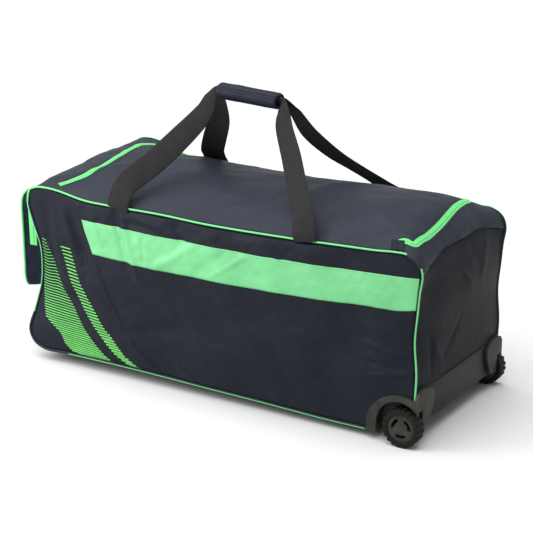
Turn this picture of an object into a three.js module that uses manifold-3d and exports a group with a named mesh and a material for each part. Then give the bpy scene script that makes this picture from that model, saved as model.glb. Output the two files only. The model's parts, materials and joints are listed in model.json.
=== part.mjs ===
// Wheeled cricket kit bag: sewn fabric shell, end pocket, webbing handles, moulded running gear.
// Millimetres. X runs along the bag towards the wheels, Y from front to back, Z up from the floor.

import * as THREE from 'three';
import { mergeVertices } from 'three/addons/utils/BufferGeometryUtils.js';
import Module from 'manifold-3d';

const wasm = await Module();
wasm.setup();

// Shell
const bodyLength = 900;
const bodyWidth = 366;
const sideHeight = 365;
const crownRise = 58;
const endBulge = 12;
const baseSag = 32;
const panelBulge = 14;
const wall = 2;
const gap = 0.3;
const halfLength = bodyLength / 2;
const halfWidth = bodyWidth / 2;

// Trim
const pipingRadius = 3;
const pipingEnd = 4.4;
const zipWidth = 14;
const endBorderWidth = 90;
const zipRise = 0.8;
const lidEase = 0.7;
const bandThickness = 1.2;
const bandSeat = 1.3;
const tabLength = 24;
const tabWidth = 20;
const borderHeight = 26;
const tabInset = 40;
const tabSink = 0.3;
const backBorderWidth = 22;

// End pocket
const pocketWidth = 232;
const pocketHeight = 210;
const pocketBottom = 126;
const pocketDepth = 70;
const pocketSeat = 1.2;
const pocketLean = -2;
const pocketBulge = 6;
const pocketZipWidth = 19;
const pocketZipInset = 15;
const pocketZipEnd = 0.47;

// Handles
const strapSpacing = 430;
const strapWidth = 50;
const strapThickness = 2.4;
const handleHeight = 586;
const gripLength = 136;
const gripLean = 40;
const gripShift = 4;
const gripTilt = 8;
const gripDepth = 38;
const gripHeight = 31;
const gripWall = 3.5;
const strapsApart = 7;

// Running gear
const wheelRadius = 37.5;
const wheelWidth = 26;
const wheelInset = 24;
const wheelX = halfLength - wheelInset;
const wheelProud = 16;
const lugCount = 20;
const lugDepth = 2.4;
const hubRadius = 27;
const hubRecess = 2;
const axleRadius = 6;
const axleHead = 10;
const bossRadius = 13;
const runningClearance = 0.5;
const wellRadius = 47;
const wellOffset = 8;
const wellWall = 3;
const wellFloor = 28;
const archRadius = 68;
const archHeight = 98;
const archFoot = 16;
const archThickness = 6;
const archProud = 7;
const guardThickness = 6;
const plateThickness = 4;
const plateTop = 111;
const plateBottom = 29;
const plateX = halfLength;

// Colours
const navy = { color: 0x2b303b, roughness: 0.5, metalness: 0 };
const darkNavy = { color: 0x242935, roughness: 0.7, metalness: 0 };
const lime = { color: 0x86e896, roughness: 0.55, metalness: 0 };
const webbing = { color: 0x38393a, roughness: 0.9, metalness: 0 };
const moulded = { color: 0x3d3d39, roughness: 0.55, metalness: 0 };
const board = { color: 0x2f2f2d, roughness: 0.6, metalness: 0 };
const rubber = { color: 0x262624, roughness: 0.8, metalness: 0 };

// Seam outline, clockwise from the top left corner as seen from the front.
// x is a share of halfLength and z of sideHeight. Halfway between the front and back seams the
// shell stands shiftX and shiftZ further out, as shares of that edge's depth. Tilt is how much
// higher the back seam runs than the front one, as a share of the same depth. Fullness is the
// power of the curve across: a higher one is flatter in the middle.
const edges = {
  top: {
    depth: crownRise,
    rows: [
      { x: -0.980, z: 1.003, shiftX: 0.15, shiftZ: 0.22, tilt: 0.45, fullness: 2.5 },
      { x: -0.942, z: 1.027, shiftX: 0.25, shiftZ: 0.20, tilt: 0.52, fullness: 2.5 },
      { x: -0.889, z: 1.033, shiftX: 0.25, shiftZ: 0.25, tilt: 0.54, fullness: 2.5 },
      { x: -0.816, z: 1.027, shiftX: 0.20, shiftZ: 0.36, tilt: 0.50, fullness: 2.5 },
      { x: -0.667, z: 0.997, shiftX: 0.10, shiftZ: 0.66, tilt: 0.30, fullness: 2.5 },
      { x: -0.542, z: 0.992, shiftX: 0.04, shiftZ: 0.88, tilt: 0.14, fullness: 2.5 },
      { x: -0.260, z: 0.992, shiftX: 0.00, shiftZ: 0.96, tilt: 0.02, fullness: 2.5 },
      { x: 0.000, z: 0.981, shiftX: 0.00, shiftZ: 0.98, tilt: 0.00, fullness: 2.5 },
      { x: 0.416, z: 0.986, shiftX: 0.00, shiftZ: 0.98, tilt: 0.00, fullness: 2.5 },
      { x: 0.667, z: 0.995, shiftX: -0.20, shiftZ: 0.95, tilt: 0.00, fullness: 2.5 },
      { x: 0.800, z: 1.000, shiftX: -0.44, shiftZ: 0.90, tilt: 0.00, fullness: 2.5 },
      { x: 0.889, z: 1.008, shiftX: -0.62, shiftZ: 0.80, tilt: 0.00, fullness: 2.5 },
      { x: 0.942, z: 1.005, shiftX: -0.64, shiftZ: 0.72, tilt: 0.00, fullness: 2.5 },
    ],
  },
  right: {
    depth: endBulge,
    rows: [
      { x: 0.991, z: 0.970, shiftX: -2.40, shiftZ: 3.00, tilt: 0.00, fullness: 2.5 },
      { x: 1.009, z: 0.915, shiftX: -1.10, shiftZ: 2.30, tilt: 0.00, fullness: 2.5 },
      { x: 1.000, z: 0.822, shiftX: 0.20, shiftZ: 1.40, tilt: 0.00, fullness: 2.5 },
      { x: 0.993, z: 0.712, shiftX: 1.00, shiftZ: 0.60, tilt: 0.00, fullness: 2.5 },
      { x: 0.984, z: 0.564, shiftX: 1.10, shiftZ: 0.10, tilt: 0.00, fullness: 2.5 },
      { x: 0.995, z: 0.392, shiftX: 0.50, shiftZ: 0.00, tilt: 0.00, fullness: 2.5 },
      { x: 0.993, z: 0.274, shiftX: 0.25, shiftZ: 0.00, tilt: 0.00, fullness: 3.0 },
      { x: 0.990, z: 0.164, shiftX: 0.20, shiftZ: 0.00, tilt: 0.00, fullness: 3.0 },
    ],
  },
  bottom: {
    depth: baseSag,
    rows: [
      { x: 0.978, z: 0.077, shiftX: 0.00, shiftZ: 0.00, tilt: 0.00, fullness: 3.5 },
      { x: 0.911, z: 0.049, shiftX: 0.00, shiftZ: 0.00, tilt: 0.00, fullness: 4.0 },
      { x: 0.771, z: 0.047, shiftX: 0.00, shiftZ: -0.10, tilt: 0.00, fullness: 4.0 },
      { x: 0.576, z: 0.047, shiftX: 0.00, shiftZ: -0.40, tilt: 0.00, fullness: 4.0 },
      { x: 0.333, z: 0.055, shiftX: 0.00, shiftZ: -0.80, tilt: 0.00, fullness: 4.0 },
      { x: 0.000, z: 0.063, shiftX: 0.00, shiftZ: -1.00, tilt: 0.00, fullness: 4.0 },
      { x: -0.440, z: 0.074, shiftX: 0.00, shiftZ: -1.05, tilt: 0.00, fullness: 4.0 },
      { x: -0.790, z: 0.074, shiftX: 0.00, shiftZ: -0.95, tilt: 0.00, fullness: 4.0 },
      { x: -0.929, z: 0.071, shiftX: 0.05, shiftZ: -0.60, tilt: 0.00, fullness: 3.5 },
    ],
  },
  left: {
    depth: endBulge,
    rows: [
      { x: -0.990, z: 0.105, shiftX: -0.20, shiftZ: -0.60, tilt: 0.00, fullness: 3.0 },
      { x: -1.013, z: 0.173, shiftX: -0.40, shiftZ: -0.20, tilt: 0.00, fullness: 2.5 },
      { x: -0.982, z: 0.285, shiftX: -0.60, shiftZ: 0.00, tilt: 0.00, fullness: 2.5 },
      { x: -0.955, z: 0.375, shiftX: -0.70, shiftZ: 0.00, tilt: 0.00, fullness: 2.5 },
      { x: -0.929, z: 0.471, shiftX: -0.80, shiftZ: 0.00, tilt: 0.00, fullness: 2.5 },
      { x: -0.920, z: 0.556, shiftX: -0.80, shiftZ: 0.00, tilt: 0.00, fullness: 2.5 },
      { x: -0.925, z: 0.688, shiftX: -0.70, shiftZ: 0.20, tilt: 0.00, fullness: 2.5 },
      { x: -0.964, z: 0.822, shiftX: -0.40, shiftZ: 0.30, tilt: 0.60, fullness: 2.5 },
      { x: -0.991, z: 0.932, shiftX: -0.10, shiftZ: 0.60, tilt: 1.60, fullness: 2.5 },
    ],
  },
};

// Middle of the zip's left and right runs: how far each lies in from the end of the top seam, as a
// share of endBorderWidth, at a share across the bag.
const zipRuns = [
  { across: -1.00, left: 0.56, right: 0.20 },
  { across: -0.80, left: 0.82, right: 0.12 },
  { across: -0.60, left: 0.97, right: 0.01 },
  { across: -0.30, left: 0.98, right: -0.02 },
  { across: 0.00, left: 0.90, right: 0.03 },
  { across: 0.40, left: 0.76, right: 0.14 },
  { across: 0.75, left: 0.54, right: 0.30 },
  { across: 1.00, left: 0.40, right: 0.42 },
];

// Soft folds and dents of the two long panels. x and z are shares across the panel, from its left
// end and its bottom. Length and width are shares of sideHeight, height of panelBulge, and
// turn is the slope of the fold in degrees.
const panelFolds = [
  { x: 0.10, z: 0.72, length: 0.45, width: 0.13, turn: -70, height: -0.75 },
  { x: 0.18, z: 0.40, length: 0.50, width: 0.12, turn: -62, height: 0.45 },
  { x: 0.05, z: 0.22, length: 0.25, width: 0.14, turn: 60, height: 0.40 },
  { x: 0.36, z: 0.40, length: 0.55, width: 0.12, turn: -35, height: -0.35 },
  { x: 0.62, z: 0.24, length: 0.60, width: 0.12, turn: 8, height: 0.40 },
  { x: 0.86, z: 0.55, length: 0.35, width: 0.13, turn: 58, height: -0.55 },
  { x: 0.93, z: 0.36, length: 0.25, width: 0.10, turn: 25, height: 0.45 },
];

// Centre line of each leg of the straps, from its seam to the grip. Out is a share of the way
// from the grip's end to the leg's place on the seam, ahead of the way from the grip to the seam
// across the bag, and up of the height from the seam to the grip. Wide is a share of strapWidth, and
// lean is how far the webbing's outer face turns up, as a slope.
const legs = {
  frontLeft: [
    { out: 1.000, ahead: 1.032, up: -0.014, wide: 1.00, lean: 0.0 },
    { out: 0.980, ahead: 1.040, up: 0.060, wide: 1.00, lean: 0.0 },
    { out: 0.910, ahead: 0.960, up: 0.205, wide: 1.00, lean: 0.0 },
    { out: 0.645, ahead: 0.720, up: 0.385, wide: 1.00, lean: 0.0 },
    { out: 0.380, ahead: 0.440, up: 0.595, wide: 0.98, lean: 0.0 },
    { out: 0.150, ahead: 0.180, up: 0.815, wide: 0.82, lean: 0.0 },
    { out: 0.090, ahead: 0.090, up: 0.940, wide: 0.55, lean: 0.0 },
  ],
  frontRight: [
    { out: 1.000, ahead: 1.032, up: -0.014, wide: 1.00, lean: 0.0 },
    { out: 0.985, ahead: 1.040, up: 0.060, wide: 1.00, lean: 0.0 },
    { out: 0.930, ahead: 0.960, up: 0.205, wide: 1.00, lean: 0.0 },
    { out: 0.700, ahead: 0.720, up: 0.385, wide: 1.00, lean: 0.0 },
    { out: 0.440, ahead: 0.440, up: 0.595, wide: 0.98, lean: 0.0 },
    { out: 0.180, ahead: 0.190, up: 0.815, wide: 0.82, lean: 0.0 },
    { out: 0.110, ahead: 0.090, up: 0.935, wide: 0.55, lean: 0.0 },
  ],
  backLeft: [
    { out: 1.000, ahead: 1.022, up: -0.014, wide: 1.00, lean: 0.0 },
    { out: 1.000, ahead: 1.022, up: 0.050, wide: 1.00, lean: 0.0 },
    { out: 0.960, ahead: 0.900, up: 0.160, wide: 1.00, lean: 0.0 },
    { out: 0.840, ahead: 0.713, up: 0.270, wide: 1.00, lean: 0.0 },
    { out: 0.620, ahead: 0.530, up: 0.440, wide: 1.00, lean: 0.0 },
    { out: 0.280, ahead: 0.260, up: 0.690, wide: 0.90, lean: 0.0 },
    { out: 0.110, ahead: 0.090, up: 0.930, wide: 0.55, lean: 0.0 },
  ],
  backRight: [
    { out: 1.000, ahead: 1.022, up: -0.014, wide: 1.00, lean: 0.0 },
    { out: 0.980, ahead: 1.022, up: 0.050, wide: 1.00, lean: 0.0 },
    { out: 0.820, ahead: 0.900, up: 0.175, wide: 1.00, lean: 0.3 },
    { out: 0.600, ahead: 0.759, up: 0.295, wide: 1.00, lean: 0.6 },
    { out: 0.340, ahead: 0.590, up: 0.440, wide: 1.00, lean: 0.6 },
    { out: 0.160, ahead: 0.349, up: 0.655, wide: 0.90, lean: 0.5 },
    { out: 0.110, ahead: 0.110, up: 0.900, wide: 0.55, lean: 0.1 },
  ],
};

// Outline of the pocket's face, clockwise from its top middle as seen from the left end.
// y is a share of half the pocket's width and z of its height.
const pocketRows = [
  { y: 0.00, z: 1.000 },
  { y: 0.55, z: 1.000 },
  { y: 0.86, z: 0.990 },
  { y: 0.97, z: 0.945 },
  { y: 1.00, z: 0.860 },
  { y: 1.00, z: 0.600 },
  { y: 1.00, z: 0.300 },
  { y: 0.99, z: 0.090 },
  { y: 0.93, z: 0.025 },
  { y: 0.75, z: 0.000 },
  { y: 0.35, z: -0.025 },
  { y: 0.00, z: -0.035 },
];

// Corner guard on the end of each wheel housing, seen from the right end. y is the distance
// from the bag's middle as a share of halfWidth, and z a share of the plate's top height.
const guardRows = [
  { y: 1.038, z: 0.640 },
  { y: 1.038, z: 0.875 },
  { y: 1.000, z: 0.955 },
  { y: 0.930, z: 0.992 },
  { y: 0.850, z: 0.992 },
  { y: 0.760, z: 0.950 },
  { y: 0.690, z: 0.900 },
  { y: 0.645, z: 0.820 },
  { y: 0.660, z: 0.660 },
  { y: 0.710, z: 0.495 },
  { y: 0.765, z: 0.350 },
  { y: 0.885, z: 0.330 },
  { y: 0.912, z: 0.400 },
  { y: 0.912, z: 0.640 },
];

const bag = new THREE.Group();
const kitBag = new THREE.Group();
kitBag.add(bag);

function addPiece(name, geometry, finish) {
  const mesh = new THREE.Mesh(geometry, new THREE.MeshStandardMaterial(finish));
  mesh.name = name;
  bag.add(mesh);
}

// Merged geometry whose faces point out of the solid: a negative volume is turned round.
function solid(points, triangles) {
  let geometry = new THREE.BufferGeometry();
  geometry.setAttribute('position', new THREE.Float32BufferAttribute(points.flatMap((p) => [p.x, p.y, p.z]), 3));
  geometry.setIndex(triangles.flat());
  geometry = mergeVertices(geometry, 1e-3);
  const position = geometry.getAttribute('position');
  const corners = geometry.getIndex().array;
  const kept = [];
  let volume = 0;
  for (let i = 0; i < corners.length; i += 3) {
    const [a, b, c] = [corners[i], corners[i + 1], corners[i + 2]];
    if (a === b || b === c || c === a) continue;
    kept.push([a, b, c]);
    const pa = new THREE.Vector3().fromBufferAttribute(position, a);
    const pb = new THREE.Vector3().fromBufferAttribute(position, b);
    const pc = new THREE.Vector3().fromBufferAttribute(position, c);
    volume += pa.dot(pb.cross(pc));
  }
  geometry.setIndex(kept.flatMap(([a, b, c]) => (volume < 0 ? [a, c, b] : [a, b, c])));
  return geometry;
}

// Closed wall between two sheets of points on one grid. Cells that keep() refuses are left out,
// and the wall is closed along every free edge.
function sheetWall(outer, inner, keep = () => true) {
  const rows = outer.length;
  const columns = outer[0].length;
  const points = [...outer.flat(), ...inner.flat()];
  const top = (i, j) => i * columns + j;
  const under = (i, j) => rows * columns + i * columns + j;
  const inside = (i, j) => i >= 0 && j >= 0 && i < rows - 1 && j < columns - 1 && keep(i, j);
  const triangles = [];
  const quad = (a, b, c, d) => triangles.push([a, b, c], [a, c, d]);
  for (let i = 0; i < rows - 1; i += 1) {
    for (let j = 0; j < columns - 1; j += 1) {
      if (!inside(i, j)) continue;
      quad(top(i, j), top(i + 1, j), top(i + 1, j + 1), top(i, j + 1));
      quad(under(i, j), under(i, j + 1), under(i + 1, j + 1), under(i + 1, j));
      if (!inside(i - 1, j)) quad(top(i, j + 1), under(i, j + 1), under(i, j), top(i, j));
      if (!inside(i + 1, j)) quad(top(i + 1, j), under(i + 1, j), under(i + 1, j + 1), top(i + 1, j + 1));
      if (!inside(i, j - 1)) quad(top(i, j), under(i, j), under(i + 1, j), top(i + 1, j));
      if (!inside(i, j + 1)) quad(top(i + 1, j + 1), under(i + 1, j + 1), under(i, j + 1), top(i, j + 1));
    }
  }
  return solid(points, triangles);
}

// Solid through a row of closed sections, capped at both ends or joined into a ring.
function loft(sections, ring = false) {
  const count = sections[0].length;
  const points = sections.flat();
  const triangles = [];
  const last = ring ? sections.length : sections.length - 1;
  for (let i = 0; i < last; i += 1) {
    const next = (i + 1) % sections.length;
    for (let j = 0; j < count; j += 1) {
      const k = (j + 1) % count;
      triangles.push([i * count + j, i * count + k, next * count + k]);
      triangles.push([i * count + j, next * count + k, next * count + j]);
    }
  }
  if (!ring) {
    const end = (sections.length - 1) * count;
    for (let j = 1; j < count - 1; j += 1) {
      triangles.push([0, j + 1, j]);
      triangles.push([end, end + j, end + j + 1]);
    }
  }
  return solid(points, triangles);
}

// Joins and cuts through closed solids.
function manifold(geometry) {
  const plain = geometry.clone();
  plain.deleteAttribute('normal');
  plain.deleteAttribute('uv');
  const merged = mergeVertices(plain, 1e-4);
  return new wasm.Manifold(new wasm.Mesh({
    numProp: 3,
    vertProperties: new Float32Array(merged.getAttribute('position').array),
    triVerts: new Uint32Array(merged.getIndex().array),
  }));
}

function fromManifold(shape) {
  const mesh = shape.getMesh();
  const geometry = new THREE.BufferGeometry();
  geometry.setAttribute('position', new THREE.Float32BufferAttribute(mesh.vertProperties, 3));
  geometry.setIndex(Array.from(mesh.triVerts));
  return geometry;
}

function subtract(geometry, ...tools) {
  return fromManifold(tools.reduce((shape, tool) => shape.subtract(manifold(tool)), manifold(geometry)));
}

function join(geometry, ...others) {
  return fromManifold(others.reduce((shape, other) => shape.add(manifold(other)), manifold(geometry)));
}

// Plate with an outline in the XZ plane between two depths along Y.
function plateAcross(shape, fromY, toY, curveSegments = 8) {
  const geometry = new THREE.ExtrudeGeometry(shape, { depth: toY - fromY, bevelEnabled: false, curveSegments });
  geometry.rotateX(Math.PI / 2);
  geometry.translate(0, toY, 0);
  return geometry;
}

// Box between two corners.
function block(x0, x1, y0, y1, z0, z1) {
  const geometry = new THREE.BoxGeometry(x1 - x0, y1 - y0, z1 - z0);
  geometry.translate((x0 + x1) / 2, (y0 + y1) / 2, (z0 + z1) / 2);
  return geometry;
}

// Round bar along Y.
function barAcross(x, z, radius, fromY, toY, sides = 16) {
  const geometry = new THREE.CylinderGeometry(radius, radius, toY - fromY, sides);
  geometry.translate(x, (fromY + toY) / 2, z);
  return geometry;
}

// The seam at the front and back, and the section halfway between them, as closed curves.
// A station counts rows of the outline, so it can be placed anywhere round the bag.
const knots = Object.values(edges).flatMap((edge) => edge.rows.map((row) => ({
  seam: new THREE.Vector3(row.x * halfLength, row.fullness, row.z * sideHeight),
  middle: new THREE.Vector3(
    row.x * halfLength + row.shiftX * edge.depth, row.tilt * edge.depth,
    row.z * sideHeight + row.shiftZ * edge.depth),
})));
const seamCurve = new THREE.CatmullRomCurve3(knots.map((knot) => knot.seam), true, 'centripetal');
const middleCurve = new THREE.CatmullRomCurve3(knots.map((knot) => knot.middle), true, 'centripetal');
const topStart = 0;
const rightStart = edges.top.rows.length;
const bottomStart = rightStart + edges.right.rows.length;
const leftStart = bottomStart + edges.bottom.rows.length;
const lap = knots.length;

function shellSection(station, across) {
  const turn = (((station % lap) + lap) % lap) / lap;
  const seam = seamCurve.getPoint(turn);
  const middle = middleCurve.getPoint(turn);
  const share = 1 - Math.abs(across) ** seam.y;
  const tilt = (middle.y * (1 + across)) / 2;
  return new THREE.Vector3(
    THREE.MathUtils.lerp(seam.x, middle.x, share), across * halfWidth,
    THREE.MathUtils.lerp(seam.z, middle.z, share) + tilt);
}

// Point on the shell, lifted outwards in the plane of the section. The base lies flat on the floor.
function shellPoint(station, across, lift = 0) {
  const step = 0.02;
  const point = shellSection(station, across);
  const along = shellSection(station + step, across).sub(shellSection(station - step, across));
  const outward = new THREE.Vector3(-along.z, 0, along.x).normalize();
  point.z = Math.max(point.z, 0);
  return point.addScaledVector(outward, lift);
}

// Station a short length further round the bag, by its length at that share across.
function stationPast(station, length, across = -1) {
  const step = 0.02;
  const before = shellPoint(station - step, across);
  return station + (length * 2 * step) / shellPoint(station + step, across).distanceTo(before);
}

// Station between two others where the shell reaches a value on one axis.
function stationWhere(axis, value, from, to, across = -1) {
  let [low, high] = [from, to];
  const rising = shellPoint(to, across)[axis] > shellPoint(from, across)[axis];
  for (let i = 0; i < 30; i += 1) {
    const middle = (low + high) / 2;
    if ((shellPoint(middle, across)[axis] < value) === rising) low = middle;
    else high = middle;
  }
  return (low + high) / 2;
}

// Evenly spaced stations between two, by length along the seam.
function evenStations(from, to, count) {
  const fine = 160;
  const lengths = [0];
  for (let i = 1; i <= fine; i += 1) {
    const before = shellSection(THREE.MathUtils.lerp(from, to, (i - 1) / fine), -1);
    const here = shellSection(THREE.MathUtils.lerp(from, to, i / fine), -1);
    lengths.push(lengths[i - 1] + here.distanceTo(before));
  }
  return Array.from({ length: count + 1 }, (_, n) => {
    const wanted = (n / count) * lengths[fine];
    let i = 1;
    while (i < fine && lengths[i] < wanted) i += 1;
    const share = (wanted - lengths[i - 1]) / (lengths[i] - lengths[i - 1]);
    return THREE.MathUtils.lerp(from, to, (i - 1 + share) / fine);
  });
}

// Station at a share of the way along a list of them.
function stationAt(stations, share) {
  const place = share * (stations.length - 1);
  const index = Math.min(Math.floor(place), stations.length - 2);
  return THREE.MathUtils.lerp(stations[index], stations[index + 1], place - index);
}

function evenValues(from, to, count) {
  return Array.from({ length: count + 1 }, (_, n) => THREE.MathUtils.lerp(from, to, n / count));
}

// Fabric piece of the shell over shares across and the stations that a function gives for each.
function shellPatch(stationsAt, acrosses, keep, rise = 0) {
  const columns = acrosses.map((across) => stationsAt(across));
  const sheet = (lift) => columns[0].map((_, i) => acrosses.map((across, j) => shellPoint(columns[j][i], across, lift)));
  return sheetWall(sheet(rise), sheet(rise - wall), keep);
}

function shellPiece(stations, acrosses) {
  return shellPatch(() => stations, acrosses);
}

const seamAcross = (halfWidth - pipingRadius - gap) / halfWidth;
const gapAcross = gap / halfWidth;

// Running gear places that the fabric is cut to.
const wheelZ = wheelRadius;
const wellX = wheelX - wellOffset;
const wellZ = wheelZ + 1;
const archZ = archHeight - archRadius;
const archLeft = wellX - archRadius;
const wellLeft = wellX - wellRadius;
const guardOuterX = plateX + gap + guardThickness;
const guardInnerX = plateX + gap;
const archOuterY = halfWidth + archProud;
const wellInnerY = halfWidth * guardRows[11].y + gap;
const baseEnd = stationPast(stationWhere('x', wellLeft - wellWall, bottomStart, leftStart), gap);
const plateStation = stationPast(stationWhere('z', plateTop, rightStart, bottomStart), -gap);

// Underside, from the left corner to the wheel wells.
function basePanel() {
  const stations = evenStations(baseEnd, leftStart, 13);
  const acrosses = evenValues(-seamAcross, seamAcross, 8);
  return shellPiece(stations, acrosses);
}

// Top of the shell: lid, zip tape and the borders round them. The zip's runs bend across the bag.
const zipBackOuter = seamAcross - backBorderWidth / halfWidth;
const zipBack = zipBackOuter - zipWidth / halfWidth;

function runInset(side, across) {
  const i = Math.max(1, zipRuns.findIndex((row) => row.across >= across));
  const [before, after] = [zipRuns[i - 1], zipRuns[i]];
  const share = (across - before.across) / (after.across - before.across);
  return THREE.MathUtils.lerp(before[side], after[side], share) * endBorderWidth;
}

// Shares across that the top's pieces have in common, so that their edges run parallel.
const lidAcrosses = evenValues(-seamAcross, zipBack, 11);
const borderAcrosses = [zipBackOuter, (zipBackOuter + seamAcross) / 2, seamAcross];
const topLine = evenStations(topStart, rightStart, 200);
const topLength = topLine.reduce((sum, station, i) => (
  i ? sum + shellSection(station, -1).distanceTo(shellSection(topLine[i - 1], -1)) : 0), 0);

// Station of an edge of a zip run: edge is -1 at its left, 0 at its middle and 1 at its right.
function zipStation(side, across, edge, clear = 0) {
  const inset = runInset(side, across);
  const middle = side === 'left'
    ? stationAt(topLine, inset / topLength)
    : stationPast(rightStart, -inset);
  return stationPast(middle, edge * zipWidth / 2 + clear, across);
}

function lidPanel() {
  const stationsAt = (across) => evenStations(
    zipStation('left', across, 1, lidEase), zipStation('right', across, -1, -lidEase), 16);
  return shellPatch(stationsAt, [...lidAcrosses.slice(0, -1), zipBack - gapAcross]);
}

function lidZip() {
  const stationsAt = (across) => [
    zipStation('left', across, -1),
    ...evenStations(zipStation('left', across, 1), zipStation('right', across, -1), 16),
    zipStation('right', across, 1),
  ];
  const acrosses = [...lidAcrosses, zipBackOuter];
  const rows = stationsAt(0).length;
  const keep = (i, j) => i < 1 || i > rows - 3 || j > acrosses.length - 3;
  return shellPatch(stationsAt, acrosses, keep, zipRise);
}

function topBorderLeft() {
  const start = stationPast(topStart, gap);
  const stationsAt = (across) => evenStations(start, zipStation('left', across, -1, -lidEase), 4);
  return shellPatch(stationsAt, [...lidAcrosses, ...borderAcrosses]);
}

const endSeam = stationPast(rightStart, borderHeight);

function topBorderRight() {
  const end = stationPast(endSeam, -gap);
  const stationsAt = (across) => evenStations(zipStation('right', across, 1, lidEase), end, 4);
  return shellPatch(stationsAt, [...lidAcrosses, ...borderAcrosses]);
}

function topBorderBack() {
  const stationsAt = (across) => evenStations(zipStation('left', across, -1), zipStation('right', across, 1), 18);
  return shellPatch(stationsAt, [zipBackOuter + gapAcross, ...borderAcrosses.slice(1)]);
}

function rightEndPanel() {
  return shellPiece(evenStations(endSeam, plateStation, 8), evenValues(-seamAcross, seamAcross, 8));
}

function leftEndPanel() {
  const from = stationPast(leftStart, gap);
  return shellPiece(evenStations(from, lap, 10), evenValues(-seamAcross, seamAcross, 8));
}

// Zip end tab: folded fabric that the zip's front end is tucked under, lying on the lid's corner.
function zipTab() {
  const middle = stationPast(rightStart, -tabInset);
  const stations = evenStations(stationPast(middle, -tabLength / 2), stationPast(middle, tabLength / 2), 2);
  const acrosses = evenValues(-seamAcross, -seamAcross + tabWidth / halfWidth, 2);
  const sheet = (lift) => stations.map((station) => acrosses.map((across) => shellPoint(station, across, lift)));
  return sheetWall(sheet(wall - tabSink), sheet(-tabSink));
}

// Long side panel: a patch stretched between its four seams, crowned and folded.
// along runs from the left end to the right, up from the bottom to the top.
const seamEase = 0.2;
const panelEdge = pipingRadius + gap + seamEase;
const bottomStations = evenStations(leftStart, bottomStart, 40);
const topStations = evenStations(topStart, rightStart, 40);
const leftStations = evenStations(leftStart, lap, 40);
const rightStations = evenStations(bottomStart, rightStart, 40);

function seamAt(stations, share, side) {
  return shellPoint(stationAt(stations, share), side, -panelEdge);
}

// Shares from 0 to 1 that crowd towards both ends, where the corners turn.
function crowdedShares(count, crowd) {
  return evenValues(0, 1, count).map((share) => share - (crowd * Math.sin(2 * Math.PI * share)) / (2 * Math.PI));
}

const alongShares = crowdedShares(22, 0.7);
const upShares = crowdedShares(8, 0.5);

// Stations of the panel's rim, which the beads on the seam share so that their chords run parallel.
const rimStations = [
  ...alongShares.map((share) => stationAt(topStations, share)),
  ...upShares.map((share) => stationAt(rightStations, share)),
  ...alongShares.map((share) => stationAt(bottomStations, share)),
  ...upShares.map((share) => stationAt(leftStations, share)),
].sort((a, b) => a - b).filter((station, i, all) => i === 0 || station - all[i - 1] > 1e-6);

function foldHeight(along, up) {
  return panelFolds.reduce((sum, fold) => {
    const slope = THREE.MathUtils.degToRad(fold.turn);
    const dx = (along - fold.x) * bodyLength;
    const dz = (up - fold.z) * sideHeight;
    const run = (dx * Math.cos(slope) + dz * Math.sin(slope)) / (fold.length * sideHeight / 2);
    const side = (dz * Math.cos(slope) - dx * Math.sin(slope)) / (fold.width * sideHeight);
    return sum + fold.height * Math.exp(-run * run - side * side);
  }, 0);
}

function panelPoint(side, along, up, lift = 0) {
  const [bottom, top] = [seamAt(bottomStations, along, side), seamAt(topStations, along, side)];
  const [left, right] = [seamAt(leftStations, up, side), seamAt(rightStations, up, side)];
  const corners = [[0, 0], [1, 0], [0, 1], [1, 1]].map(([a, u]) => {
    const corner = seamAt(u ? topStations : bottomStations, a, side);
    return corner.multiplyScalar((a ? along : 1 - along) * (u ? up : 1 - up));
  });
  const point = new THREE.Vector3()
    .addScaledVector(bottom, 1 - up).addScaledVector(top, up)
    .addScaledVector(left, 1 - along).addScaledVector(right, along);
  corners.forEach((corner) => point.sub(corner));
  const inner = Math.sqrt(Math.max(16 * along * (1 - along) * up * (1 - up), 0));
  const crown = panelBulge * Math.min(inner * 1.15, 1) * (0.75 + 0.25 * inner);
  const fold = panelBulge * foldHeight(along, up) * Math.min(inner * 1.6, 1);
  point.y = side * (halfWidth + Math.max(crown + fold, 0) + lift);
  return point;
}

function mirrored(geometry) {
  geometry.scale(1, -1, 1);
  const corners = geometry.getIndex().array;
  for (let i = 0; i < corners.length; i += 3) {
    [corners[i + 1], corners[i + 2]] = [corners[i + 2], corners[i + 1]];
  }
  return geometry;
}

function sidePanel(side) {
  const sheet = (lift) => alongShares.map((along) => upShares.map((up) => panelPoint(side, along, up, lift)));
  const [outer, inner] = [sheet(0), sheet(-wall)];
  const archCut = barAcross(wellX, archZ, archRadius + gap, -bodyWidth, bodyWidth, 48);
  const footCut = block(archLeft - gap, bodyLength, -bodyWidth, bodyWidth, -sideHeight, archZ);
  return subtract(sheetWall(outer, inner), archCut, footCut);
}

// Lime band across the front panel, with a slanted left end.
function frontBand() {
  const corner = { topLeft: 0.155, bottomLeft: 0.176, right: 0.997 };
  const rows = { low: [0.664, 0.720], high: [0.874, 0.902] };
  const sheet = (lift) => evenValues(0, 1, 20).map((share) => evenValues(0, 1, 2).map((height) => {
    const start = THREE.MathUtils.lerp(corner.bottomLeft, corner.topLeft, height);
    const along = THREE.MathUtils.lerp(start, corner.right, share);
    const low = THREE.MathUtils.lerp(...rows.low, along);
    const high = THREE.MathUtils.lerp(...rows.high, along);
    return panelPoint(-1, along, THREE.MathUtils.lerp(low, high, height), lift);
  }));
  return sheetWall(sheet(bandSeat + bandThickness), sheet(bandSeat));
}

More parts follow.
